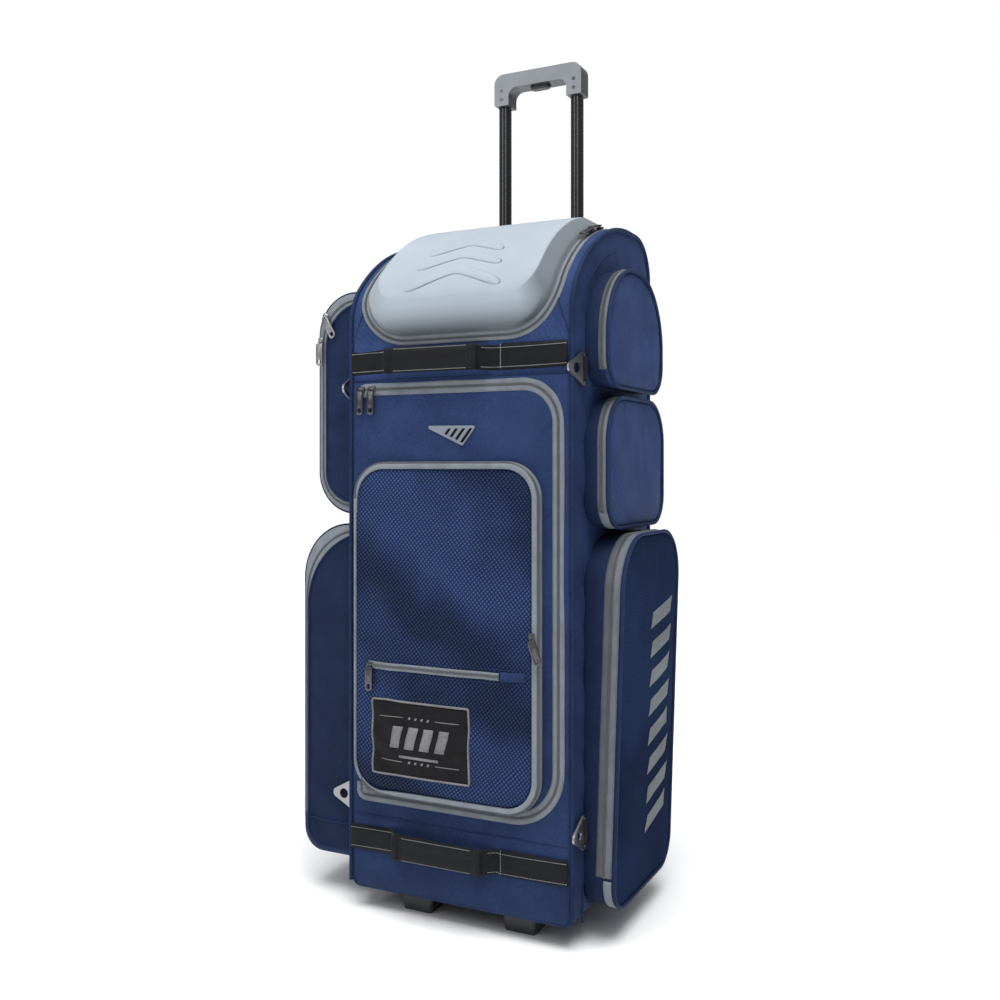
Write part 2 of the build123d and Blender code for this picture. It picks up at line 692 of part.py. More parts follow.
upper_low, upper_high, upper_depth, upper_radius = upper[0:4]
band_x = -SIDE - upper_depth + ZIP_BAND / 2
zip_slider("left_upper_slider_low", spot(front_plane(LEFT_UPPER[0] - GAP), band_x, 814), 90)
corner_turn = 30
corner_arm = upper_radius - ZIP_BAND / 2
corner_x = -SIDE - upper_depth + upper_radius - corner_arm * cos(radians(corner_turn))
corner_z = upper_high - upper_radius + corner_arm * sin(radians(corner_turn))
corner_spot = spot(front_plane(LEFT_UPPER[0] - GAP), corner_x, corner_z)
zip_slider("left_upper_slider_high", corner_spot, 90 - corner_turn, 30)
lower_band_x = SIDE + LEFT_REACH - ZIP_BAND / 2
zip_slider("left_lower_slider", spot(back_plane(LEFT_LOWER[1] + GAP), lower_band_x, 300), 90)

for name, height in (("right_top", 786), ("right_middle", 640), ("right_lower", 300)):
    far, low, high, high_depth, low_depth = RIGHT_POCKETS[name][1:6]
    depth = low_depth + (high_depth - low_depth) * (height - low) / (high - low)
    band_x = -SIDE - depth + ZIP_BAND / 2
    zip_slider(name + "_slider", spot(back_plane(far + GAP), band_x, height), 90)

zip_slider("lid_slider_front", spot(crown_plane(22), 151, 0), 90)
zip_slider("lid_slider_rear", spot(crown_plane(15), 151, 0), 90)
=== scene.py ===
from math import cos, pi, radians, sin, sqrt, tau

import bmesh
import bpy
import numpy as np
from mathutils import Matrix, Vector, noise
from mathutils.bvhtree import BVHTree
from mathutils.kdtree import KDTree


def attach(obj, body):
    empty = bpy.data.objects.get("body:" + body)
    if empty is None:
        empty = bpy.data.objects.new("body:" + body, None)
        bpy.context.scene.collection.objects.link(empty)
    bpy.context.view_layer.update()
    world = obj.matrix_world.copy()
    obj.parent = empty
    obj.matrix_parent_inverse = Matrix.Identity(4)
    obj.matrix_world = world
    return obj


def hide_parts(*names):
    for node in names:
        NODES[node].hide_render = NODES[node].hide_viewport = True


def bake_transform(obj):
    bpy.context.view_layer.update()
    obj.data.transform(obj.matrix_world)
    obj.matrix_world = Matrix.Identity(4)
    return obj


# A tall wheeled equipment bag. Lengths are millimetres in the bag's own axes: x from the body's
# middle, y from the body's front face towards the back, z above the floor. row() turns them into
# the frame's metres.

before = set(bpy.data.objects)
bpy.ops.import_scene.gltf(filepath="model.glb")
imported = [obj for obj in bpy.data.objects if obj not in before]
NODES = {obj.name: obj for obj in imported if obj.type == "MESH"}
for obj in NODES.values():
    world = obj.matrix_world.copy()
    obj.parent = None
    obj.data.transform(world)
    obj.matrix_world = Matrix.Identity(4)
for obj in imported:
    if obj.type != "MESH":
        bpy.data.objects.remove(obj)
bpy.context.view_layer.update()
SCENE = bpy.context.scene

# ---- Sizes that the CAD uses too ----

BODY_X = 23.5
BODY_Y = -150.5
SIDE = 170
DEPTH = 305
BASE = 32
BODY_CORNER = 12
SHOULDER_START = 828
SHOULDER_RADIUS = 85
SHOULDER_TURN = 42
CROWN_RADIUS = 262.7
CROWN_Y = 217.05
CROWN_Z = 709.1
BODY_TOP = 971.8
BACK_RADIUS = 60
YOKE_SEAM = 750
DOOR = (-160, 160, 157, 746)
DOOR_RADII = (14, 75, 60, 14)
POUCH = (-155, 129, 173, 634)
POUCH_RADIUS = 48
PATCH = (-120, 32, 206, 308)
LID = (-158, 158, 796, 1010)
LID_RADIUS = 80
LID_HINGE_Y = 225
LID_BACK = 195
LID_FLANGE = 14
LID_RISE = 22
ZIP_BAND = 14
RIGHT_POCKETS = {
    "right_top": (30, 250, 734, 898, 38, 38, 100, 42, 753),
    "right_middle": (30, 255, 547, 722, 38, 38, 60, 42, 566),
    "right_lower": (30, 265, 46, 538, 60, 44, 72, 42, 92),
}
LEFT_UPPER = (30, 255, 562, 883, 80, 60, 60)
LEFT_LOWER = (30, 255, 58, 544, 107, 80, 34)
LEFT_SEAM = 108
WHEEL_X = 141
WHEEL_Y = 287
WHEEL_RADIUS = 38

# ---- Sizes of the finish ----

PANEL_THICK = 1.6
POCKET_THICK = 1.4
BAND_THICK = 1.2
PRINT_THICK = 0.3
MARK_THICK = 0.35
SMALL_ZIP_Z = 354
SLIDER_Z = {
    "door": 738,
    "pouch": 408,
    "left_upper": 814,
    "left_lower": 300,
    "right_top": 786,
    "right_middle": 640,
    "right_lower": 300,
}
LID_SLIDERS = {"lid_slider_front": 22, "lid_slider_rear": 15}
CAMERA_PLACE = (0.7202, -1.4188, 0.6256)
CAMERA_AIM = (-0.4449, 0.8957, 0)

# ---- Placing and meshes ----


def row(points):
    """Bag millimetres to metres in the row frame."""
    return (np.asarray(points, float) + (BODY_X, BODY_Y, 0)) * 0.001


def unit(vectors):
    vectors = np.asarray(vectors, float)
    return vectors / np.maximum(np.linalg.norm(vectors, axis=-1, keepdims=True), 1e-9)


def at(x, y, z):
    """Points from their x, y and z, each a number or an array."""
    return np.stack(np.broadcast_arrays(*(np.asarray(v, float) for v in (x, y, z))), -1)


def smooth(t):
    t = np.clip(t, 0, 1)
    return t * t * (3 - 2 * t)


class Surface:
    """Points and faces gathered from grids, to become one mesh."""

    def __init__(self):
        self.points = []
        self.faces = []

    def grid(self, points, round_rows=False, round_columns=False):
        points = np.asarray(points, float)
        rows, columns = points.shape[:2]
        first = len(self.points)
        self.points.extend(points.reshape(-1, 3))
        for i in range(rows if round_rows else rows - 1):
            for j in range(columns if round_columns else columns - 1):
                below, right = (i + 1) % rows, (j + 1) % columns
                corners = ((i, j), (i, right), (below, right), (below, j))
                self.faces.append([first + a * columns + b for a, b in corners])
        return self

    def cap(self, ring):
        """Close a ring of points with one face."""
        first = len(self.points)
        self.points.extend(np.asarray(ring, float))
        self.faces.append(list(range(first, first + len(ring))))
        return self

    def boxes(self, centres, along, side, out, size, top=0.7):
        """Small blocks with a narrower top, one at each centre, in that place's own directions."""
        base = [(-1, -1, 0), (1, -1, 0), (1, 1, 0), (-1, 1, 0)]
        corners = np.array(base + [(a * top, b * top, 1) for a, b, _ in base], float)
        corners *= (size[0] / 2, size[1] / 2, size[2])
        points = (
            centres[:, None]
            + corners[None, :, 0:1] * along[:, None]
            + corners[None, :, 1:2] * side[:, None]
            + corners[None, :, 2:3] * out[:, None]
        )
        quads = [(3, 2, 1, 0), (4, 5, 6, 7), (0, 1, 5, 4), (1, 2, 6, 5), (2, 3, 7, 6), (3, 0, 4, 7)]
        first = len(self.points)
        self.points.extend(points.reshape(-1, 3))
        for k in range(len(centres)):
            self.faces.extend([[first + 8 * k + c for c in quad] for quad in quads])
        return self


def make(
    name, surface, look, body="bag", facing=None, thick=0, inward=True, levels=0, weld=0.02
):
    """A mesh piece from a Surface or a grid, welded, facing outwards, in its look, riding on its body."""
    if isinstance(surface, np.ndarray):
        surface = Surface().grid(surface)
    mesh = bpy.data.meshes.new(name)
    mesh.from_pydata(row(surface.points).tolist(), [], surface.faces)
    work = bmesh.new()
    work.from_mesh(mesh)
    bmesh.ops.remove_doubles(work, verts=work.verts, dist=weld * 0.001)
    bmesh.ops.recalc_face_normals(work, faces=work.faces)
    middle = sum((f.calc_center_median() for f in work.faces), Vector()) / max(len(work.faces), 1)
    if facing is None:
        turn = sum((f.calc_center_median() - middle).dot(f.normal) * f.calc_area() for f in work.faces)
    else:
        turn = sum(Vector(facing).dot(f.normal) * f.calc_area() for f in work.faces)
    if turn < 0:
        bmesh.ops.reverse_faces(work, faces=work.faces)
    work.to_mesh(mesh)
    work.free()
    mesh.polygons.foreach_set("use_smooth", [True] * len(mesh.polygons))
    mesh.materials.append(LOOK[look])
    piece = bpy.data.objects.new(name, mesh)
    SCENE.collection.objects.link(piece)
    if levels:
        piece.modifiers.new("subdivision", "SUBSURF").render_levels = levels
        piece.modifiers["subdivision"].levels = levels
    if thick:
        shell = piece.modifiers.new("thickness", "SOLIDIFY")
        shell.thickness = thick * 0.001
        shell.offset = -1 if inward else 1
    if body:
        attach(piece, body)
    return piece


def around(rows):
    """A surface through closed loops of points, one after another."""
    return Surface().grid(np.array(rows), round_columns=True)


def crisp(piece, width, segments=2):
    """Round a hard piece's sharp edges a little, so that they catch the light."""
    bevel = piece.modifiers.new("edges", "BEVEL")
    bevel.width = width * 0.001
    bevel.segments = segments
    bevel.limit_method = "ANGLE"
    bevel.angle_limit = radians(35)
    bevel.harden_normals = False


# ---- Outlines and paths ----


def soft_loop(left, right, low, high, radii, inset=0.0, along=24, up=36, turn=10):
    """Points round a soft rectangle from its low left corner's middle, and their outward directions."""
    left, right, low, high = left + inset, right - inset, low + inset, high - inset
    radii = [max(r - inset, 0.6) for r in radii]
    corners = ((left, low, 1, 1), (right, low, -1, 1), (right, high, -1, -1), (left, high, 1, -1))
    points, outward = [], []
    arcs = []
    for k, ((x, z, sx, sz), r) in enumerate(zip(corners, radii)):
        angles = np.radians(180 + 90 * k + np.linspace(0, 90, turn + 1))
        directions = np.stack([np.cos(angles), np.sin(angles)], 1)
        arcs.append((np.array((x + sx * r, z + sz * r)) + r * directions, directions))
    for k in range(4):
        arc, directions = arcs[k]
        points.append(arc)
        outward.append(directions)
        ahead = arcs[(k + 1) % 4][0][0]
        count = along if k % 2 == 0 else up
        steps = np.linspace(0, 1, count + 1)[1:-1, None]
        points.append(arc[-1] + steps * (ahead - arc[-1]))
        outward.append(np.repeat(directions[-1:], count - 1, axis=0))
    points = np.roll(np.vstack(points), -(turn // 2), axis=0)
    outward = np.roll(np.vstack(outward), -(turn // 2), axis=0)
    return points, outward


def fill(loop, along, up):
    """A grid inside a closed loop whose four sides have along, up, along and up steps."""
    low = loop[: along + 1]
    right = loop[along : along + up + 1]
    high = loop[along + up : 2 * along + up + 1][::-1]
    left = np.vstack([loop[2 * along + up :], loop[:1]])[::-1]
    u = np.linspace(0, 1, along + 1)[None, :, None]
    v = np.linspace(0, 1, up + 1)[:, None, None]
    corners = (1 - u) * (1 - v) * low[0] + u * (1 - v) * low[-1] + (1 - u) * v * high[0] + u * v * high[-1]
    return (1 - v) * low[None] + v * high[None] + (1 - u) * left[:, None] + u * right[:, None] - corners


def resample(path, step, closed=False):
    """The same path with points an even step apart."""
    path = np.asarray(path, float)
    if closed:
        path = np.vstack([path, path[:1]])
    lengths = np.concatenate([[0], np.cumsum(np.linalg.norm(np.diff(path, axis=0), axis=1))])
    count = max(int(round(lengths[-1] / step)), 2)
    places = np.linspace(0, lengths[-1], count + 1)
    if closed:
        places = places[:-1]
    return np.stack([np.interp(places, lengths, path[:, k]) for k in range(path.shape[1])], 1)


def stretch(loop, start, end):
    """The part of a closed loop from its point nearest to start, onwards to the one nearest to end."""
    first = int(np.argmin(np.linalg.norm(loop[:, :2] - start, axis=1)))
    last = int(np.argmin(np.linalg.norm(loop[:, :2] - end, axis=1)))
    if last <= first:
        last += len(loop)
    return np.take(loop, np.arange(first, last + 1), axis=0, mode="wrap")


def carry(values, count):
    """The same run of values, read at another number of even steps."""
    places, marks = np.linspace(0, 1, count), np.linspace(0, 1, len(values))
    return np.stack([np.interp(places, marks, values[:, k]) for k in range(values.shape[1])], 1)


def directions(path, out, closed=False):
    """Along, side and out directions at each point of a path on a surface that faces out."""
    if closed:
        along = unit(np.roll(path, -1, axis=0) - np.roll(path, 1, axis=0))
    else:
        along = unit(np.gradient(path, axis=0))
    out = np.broadcast_to(np.asarray(out, float), path.shape)
    side = unit(np.cross(along, out))
    return along, side, np.cross(side, along)


def sweep(path, out, section, closed=False, surface=None):
    """Carry a closed cross-section of (side, out) offsets along a path."""
    _, side, up = directions(path, out, closed)
    section = np.asarray(section, float)
    if section.ndim == 2:
        section = np.broadcast_to(section, (len(path), *section.shape))
    points = path[:, None] + section[..., 0:1] * side[:, None] + section[..., 1:2] * up[:, None]
    surface = surface or Surface()
    surface.grid(points, round_rows=closed, round_columns=True)
    if not closed:
        surface.cap(points[0])
        surface.cap(points[-1][::-1])
    return surface


def round_section(radius, sides=10):
    angles = np.linspace(0, tau, sides, endpoint=False)
    return radius * np.stack([np.cos(angles), np.sin(angles)], 1)


def squarish(angles, across, up):
    """A circle pushed towards a square: the smaller the two powers, the squarer."""
    c, s = np.cos(angles), np.sin(angles)
    return np.stack([np.sign(c) * np.abs(c) ** across, np.sign(s) * np.abs(s) ** up], 1)


def flat_section(low, high, thickness, lift=0.0, crown=0.0, steps=6):
    """A strip between two side offsets, a little higher in its middle."""
    across = np.linspace(low, high, steps + 1)
    t = np.linspace(-1, 1, steps + 1)
    top = lift + thickness * (0.45 + 0.55 * (1 - t**6)) + crown * (1 - t * t)
    upper = np.stack([across, top], 1)
    lower = np.stack([across[::-1], np.full(steps + 1, lift)], 1)
    return np.vstack([upper, lower])


def profile_polyline():
    """The body's side profile, up its front, over and down its back, and its outward directions."""
    points, outward = [], []

    def line(start, end, direction):
        steps = max(int(np.hypot(end[0] - start[0], end[1] - start[1]) / 2), 1)
        for t in np.linspace(0, 1, steps, endpoint=False):
            points.append((start[0] + t * (end[0] - start[0]), start[1] + t * (end[1] - start[1])))
            outward.append(direction)

    def arc(centre, radius, first, last):
        steps = max(int(abs(radians(first - last)) * radius / 2), 2)
        for angle in np.radians(np.linspace(first, last, steps, endpoint=False)):
            outward.append((cos(angle), sin(angle)))
            points.append((centre[0] + radius * cos(angle), centre[1] + radius * sin(angle)))

    line((0, BASE), (0, SHOULDER_START), (-1, 0))
    arc((SHOULDER_RADIUS, SHOULDER_START), SHOULDER_RADIUS, 180, 180 - SHOULDER_TURN)
    arc((CROWN_Y, CROWN_Z), CROWN_RADIUS, 180 - SHOULDER_TURN, 90)
    line((CROWN_Y, BODY_TOP), (DEPTH - BACK_RADIUS, BODY_TOP), (0, 1))
    arc((DEPTH - BACK_RADIUS, BODY_TOP - BACK_RADIUS), BACK_RADIUS, 90, 0)
    line((DEPTH, BODY_TOP - BACK_RADIUS), (DEPTH, BASE), (1, 0))
    points.append((DEPTH, BASE))
    outward.append((1, 0))
    return np.array(points, float), np.array(outward, float)


PROFILE, PROFILE_OUT = profile_polyline()
PROFILE_S = np.concatenate([[0], np.cumsum(np.linalg.norm(np.diff(PROFILE, axis=0), axis=1))])
RIDGE_INDEX = int(np.argmax(PROFILE[:, 1]))


def on_profile(table, s):
    return [np.interp(s, PROFILE_S, table[:, k]) for k in (0, 1)]


def wrap(x, s, out=0.0):
    """A point on the fabric that runs round the body: x across, s along the profile from the base."""
    y, z = on_profile(PROFILE, s)
    a, b = on_profile(PROFILE_OUT, s)
    return at(x, y + out * a, z + out * b)


def wrap_out(s):
    """The outward direction of the wrap at s."""
    return unit(at(0, *on_profile(PROFILE_OUT, s)))


def s_of_height(z):
    """Where the wrap passes this height on its way up the front."""
    return np.interp(z, PROFILE[: RIDGE_INDEX + 1, 1], PROFILE_S[: RIDGE_INDEX + 1])


def s_of_depth(y):
    """Where the wrap passes this depth on its way over the top."""
    front = int(round(np.interp(SHOULDER_START, PROFILE[:RIDGE_INDEX, 1], np.arange(RIDGE_INDEX))))
    top = slice(front, len(PROFILE_S) - int((BODY_TOP - BACK_RADIUS - BASE) / 2) - 2)
    return np.interp(y, PROFILE[top, 0], PROFILE_S[top])


# ---- Materials ----


class Look:
    """A node material on the Principled shader, built with a few short helpers."""

    def __init__(self, name, colour, roughness=0.6, **sockets):
        self.material = bpy.data.materials.new(name)
        self.material.use_nodes = True
        self.tree = self.material.node_tree
        self.shader = self.tree.nodes["Principled BSDF"]
        self.shader.inputs["Base Color"].default_value = (*colour, 1)
        self.shader.inputs["Roughness"].default_value = roughness
        for socket, value in sockets.items():
            self.shader.inputs[socket.replace("_", " ")].default_value = value
        place = self.tree.nodes.new("ShaderNodeTexCoord")
        self.spot = place.outputs["Object"]
        self.facing = place.outputs["Normal"]

    def node(self, kind, settings=None, **inputs):
        made = self.tree.nodes.new(kind)
        for key, value in (settings or {}).items():
            setattr(made, key, value)
        for key, value in inputs.items():
            numbered = key[0] == "i" and key[1:].isdigit()
            socket = made.inputs[int(key[1:]) if numbered else key.replace("_", " ")]
            if isinstance(value, bpy.types.NodeSocket):
                self.tree.links.new(value, socket)
            else:
                socket.default_value = value
        return made

    def math(self, operation, a, b=0.0):
        return self.node("ShaderNodeMath", {"operation": operation}, i0=a, i1=b).outputs[0]

    def stripes(self, direction, pitch, turn=0.0):
        """A wave from 0 to 1 along a direction, one crest for each pitch in millimetres."""
        product = {"operation": "DOT_PRODUCT"}
        spot = self.node("ShaderNodeVectorMath", product, i0=self.spot, i1=tuple(unit(direction)))
        wave = self.math("SINE", self.scaled(spot.outputs["Value"], tau / (pitch * 0.001), turn))
        return self.scaled(wave, 0.5, 0.5)

    def scaled(self, value, factor, offset):
        made = self.node("ShaderNodeMath", {"operation": "MULTIPLY_ADD"}, i0=value, i1=factor, i2=offset)
        return made.outputs[0]

    def noise(self, size, detail=3.0, rough=0.55):
        """A soft cloud whose patches are about this many millimetres across."""
        return self.node(
            "ShaderNodeTexNoise", None, Vector=self.spot, Scale=1000 / size, Detail=detail, Roughness=rough
        ).outputs[0]

    def ramp(self, fac, *stops):
        """Colours, or grays, at places from 0 to 1."""
        ramp = self.node("ShaderNodeValToRGB", None, Fac=fac)
        while len(ramp.color_ramp.elements) < len(stops):
            ramp.color_ramp.elements.new(0.5)
        for element, (place, colour) in zip(ramp.color_ramp.elements, stops):
            element.position = place
            element.color = (*np.broadcast_to(colour, 3).astype(float), 1)
        return ramp.outputs[0]

    def mix(self, fac, a, b, blend="MIX"):
        """Two colours, mixed by a factor."""
        made = self.node("ShaderNodeMix", {"data_type": "RGBA", "blend_type": blend}, i0=fac)
        for socket, value in ((made.inputs[6], a), (made.inputs[7], b)):
            if isinstance(value, bpy.types.NodeSocket):
                self.tree.links.new(value, socket)
            else:
                socket.default_value = (*value, 1)
        return made.outputs[2]

    def times(self, first, *others):
        """Colours multiplied together."""
        for other in others:
            first = self.mix(1.0, first, other, "MULTIPLY")
        return first

    def worn(self, amount=0.1, low=0.45, high=0.55):
        """Lighter along sharp edges, where a hard part is rubbed."""
        pointy = self.node("ShaderNodeNewGeometry").outputs["Pointiness"]
        return self.math("MULTIPLY", self.ramp(pointy, (low, 0), (high, 1)), amount)

    def grounded(self, low=0.78, high=1.06):
        """Darker towards the ground, a little lighter high up."""
        height = self.node("ShaderNodeSeparateXYZ", None, i0=self.spot).outputs["Z"]
        return self.ramp(height, (0.05, low), (0.8, high))

    def colour(self, value):
        self.tree.links.new(value, self.shader.inputs["Base Color"])

    def roughness(self, fac, low, high):
        span = self.node("ShaderNodeMapRange", None, Value=fac, To_Min=low, To_Max=high)
        self.tree.links.new(span.outputs[0], self.shader.inputs["Roughness"])

    def bump(self, height, distance, strength=1.0):
        """Raise the surface by height times a distance in millimetres."""
        made = self.node("ShaderNodeBump", None, Height=height, Distance=distance * 0.001, Strength=strength)
        self.tree.links.new(made.outputs[0], self.shader.inputs["Normal"])


def tone(colour, factor):
    return tuple(min(c * factor, 1.0) for c in colour)


NAVY = (0.0195, 0.037, 0.101)
ZIP_GRAY = (0.19, 0.21, 0.235)
CLOTH = {"Sheen_Weight": 0.01, "Sheen_Roughness": 0.4, "IOR": 1.2, "Specular_IOR_Level": 0.4}


def twill(name, base, pitch=1.5, contrast=0.35, lift=0.12, patches=60, moire=0.0):
    """Woven nylon: fine upright ribs crossed by finer threads, a little uneven in colour."""
    look = Look(name, base, 0.6, **CLOTH)
    ribs = look.stripes((1, 1, 0.18), pitch)
    threads = look.stripes((0.12, 0.1, 1), pitch * 0.62)
    weave = look.math("MULTIPLY", look.math("ADD", ribs, 0.35), look.math("ADD", threads, 0.6))
    cloud = look.noise(patches, 4)
    yarn = look.noise(2.6, 2)
    shade = look.ramp(weave, (0.1, tone(base, 1 - contrast)), (1.3, tone(base, 1 + contrast)))
    uneven = look.ramp(cloud, (0.3, 0.78), (0.72, 1.15))
    speckle = look.ramp(yarn, (0.35, 0.86), (0.7, 1.12))
    mixed = look.times(shade, uneven, look.grounded(), speckle)
    if moire:
        rings = look.stripes((1, 1, 0.9), 6.0, look.math("MULTIPLY", look.noise(130, 1), 30.0))
        mixed = look.times(mixed, look.ramp(rings, (0.0, 1 - moire), (1.0, 1 + moire)))
    look.colour(mixed)
    look.roughness(yarn, 0.5, 0.72)
    look.bump(look.math("ADD", weave, look.math("MULTIPLY", cloud, 1.5)), lift)
    return look.material


def dobby(name, base, pitch=3.6, shaded=0.52, **sockets):
    """The heavier cloth of the pouch: short floats set in diagonal rows, so that it looks dotted, under a
    broad diagonal band of painted shade.
    """
    look = Look(name, base, 0.55, **{**CLOTH, **sockets})
    one = look.stripes((1, 1, 0.75), pitch)
    two = look.stripes((1, 1, -1.1), pitch)
    fine = look.stripes((0.1, 0.1, 1), 0.8)
    floats = look.math("POWER", look.math("MULTIPLY", one, two), 0.8)
    # Painted shade: cloud and uneven here are a broad soft diagonal band, darkened down to shaded, as where
    # the face sags.
    cloud = look.stripes((0.62, 0.3, 1), 240, look.math("MULTIPLY", look.noise(150, 2), 7.0))
    shade = look.ramp(floats, (0.0, tone(base, 0.42)), (0.35, tone(base, 1.0)), (0.9, tone(base, 2.3)))
    uneven = look.ramp(cloud, (0.1, shaded), (0.85, 1.16))
    look.colour(look.times(shade, uneven, look.grounded(0.72, 1.08)))
    look.roughness(floats, 0.7, 0.45)
    height = look.math("ADD", floats, look.math("MULTIPLY", fine, 0.12))
    look.bump(height, 0.35)
    return look.material


def tape(name, base):
    """Zip tape: a close herringbone with a rib along it."""
    look = Look(name, base, 0.62, Sheen_Weight=0.02, Specular_IOR_Level=0.2)
    one = look.stripes((1, 1, 1), 1.3)
    two = look.stripes((1, 1, -1), 1.3)
    weave = look.math("MAXIMUM", one, two)
    cloud = look.noise(25, 4)
    shade = look.ramp(weave, (0.2, tone(base, 0.62)), (1.0, tone(base, 1.12)))
    uneven = look.ramp(cloud, (0.3, 0.85), (0.7, 1.12))
    look.colour(look.times(shade, uneven))
    look.bump(weave, 0.18)
    return look.material


def webbing(name, base, along=(1, 0, 0), pitch=1.5):
    """Strap webbing: ribs across the strap and finer rows along it."""
    look = Look(name, base, 0.7, Sheen_Weight=0.03, Specular_IOR_Level=0.15)
    ribs = look.stripes(along, pitch)
    rows = look.stripes((0, 0, 1), 2.3)
    weave = look.math("MULTIPLY", look.math("ADD", ribs, 0.3), look.math("ADD", rows, 0.4))
    cloud = look.noise(18, 4)
    shade = look.ramp(weave, (0.1, tone(base, 0.5)), (1.5, tone(base, 1.7)))
    look.colour(look.times(shade, look.ramp(cloud, (0.3, 0.8), (0.7, 1.2))))
    look.bump(weave, 0.28)
    return look.material


def moulded(name, base, rough=(0.38, 0.55), grain=0.9, lift=0.05, edge=0.12, core=1.0, **sockets):
    """Moulded plastic with a fine spark grain and lighter, rubbed edges. A core under 1 is how much
    darker painted shade makes its sides and underside."""
    look = Look(name, base, rough[0], **sockets)
    fine = look.noise(grain, 2)
    cloud = look.noise(35, 4)
    rubbed = look.mix(look.worn(edge), tone(base, 1.0), tuple(min(c + 0.12, 1) for c in base))
    mixed = look.times(rubbed, look.ramp(cloud, (0.3, 0.9), (0.7, 1.08)))
    # Painted shade: faces turned sideways or downwards are darkened towards core.
    if core < 1:
        ways = look.node("ShaderNodeSeparateXYZ", None, i0=look.facing).outputs
        under = look.math("MULTIPLY", ways["Z"], -1.0)
        shaded_facing = look.math("MAXIMUM", look.math("ABSOLUTE", ways["X"]), under)
        mixed = look.times(mixed, look.ramp(shaded_facing, (0.5, 1.0), (0.85, core)))
    look.colour(mixed)
    look.roughness(cloud, *rough)
    if lift:
        look.bump(fine, lift)
    return look.material


def metal(name, base, rough, brushed=(0, 0, 1), scratch=0.35):
    """Plated or cast metal with faint brush marks and smudges."""
    look = Look(name, base, rough[0], Metallic=1.0)
    marks = look.noise(4, 5, 0.7)
    lines = look.stripes(brushed, 0.5)
    cloud = look.noise(9, 3)
    look.colour(look.mix(look.math("MULTIPLY", cloud, scratch), base, tone(base, 0.55)))
    look.roughness(marks, *rough)
    look.bump(look.math("ADD", marks, look.math("MULTIPLY", lines, 0.2)), 0.008)
    return look.material


def foam_cloth(name, base):
    """The lid's moulded foam under a thin knitted skin, with painted shade towards its foot and on its
    sloping sides.
    """
    look = Look(name, base, 0.62, Sheen_Weight=0.2, Sheen_Roughness=0.5, Specular_IOR_Level=0.3)
    knit = look.math("MULTIPLY", look.stripes((1, 0.6, 0.8), 1.1), look.stripes((1, -0.6, -0.8), 1.1))
    pebbles = look.noise(1.8, 3)
    cloud = look.noise(70, 4)
    shade = look.ramp(knit, (0.0, tone(base, 0.93)), (1.0, tone(base, 1.04)))
    uneven = look.ramp(cloud, (0.3, 0.94), (0.7, 1.03))
    # Painted shade: darker towards the lid's foot, where its front turns down away from the light.
    height = look.node("ShaderNodeSeparateXYZ", None, i0=look.spot).outputs["Z"]
    place = look.node("ShaderNodeMapRange", None, Value=height, From_Min=0.795, From_Max=0.875).outputs[0]
    painted_foot_shade = look.ramp(place, (0.0, 0.24), (0.28, 0.33), (0.5, 0.8), (0.68, 1.0))
    # Painted shade on the sloping sides, strongest on the right side, which faces away from the light.
    sideways = look.node("ShaderNodeSeparateXYZ", None, i0=look.facing).outputs["X"]
    leaning = look.math("ADD", sideways, 0.5)
    painted_flank_shade = look.ramp(leaning, (0.0, 0.8), (0.35, 1.0), (0.62, 1.0), (0.95, 0.36))
    look.colour(look.times(shade, uneven, painted_foot_shade, painted_flank_shade))
    look.roughness(pebbles, 0.52, 0.75)
    look.bump(look.math("ADD", knit, pebbles), 0.1)
    return look.material


def mesh_pad(name, base):
    """The straps' padded grips: a spacer mesh with small hexagonal holes."""
    look = Look(name, base, 0.6, Specular_IOR_Level=0.2)
    cells = look.node("ShaderNodeTexVoronoi", {"feature": "DISTANCE_TO_EDGE"}, Vector=look.spot, Scale=420.0)
    holes = look.ramp(cells.outputs[0], (0.04, 1), (0.3, 0))
    look.colour(look.mix(holes, tone(base, 0.45), tone(base, 1.3)))
    look.bump(holes, 0.25)
    return look.material


def rubber(name, base):
    look = Look(name, base, 0.78, Specular_IOR_Level=0.35)
    dust = look.noise(14, 5)
    look.colour(look.ramp(dust, (0.35, base), (0.8, tone(base, 1.8))))
    look.roughness(dust, 0.66, 0.88)
    look.bump(look.noise(1.1, 2), 0.08)
    return look.material


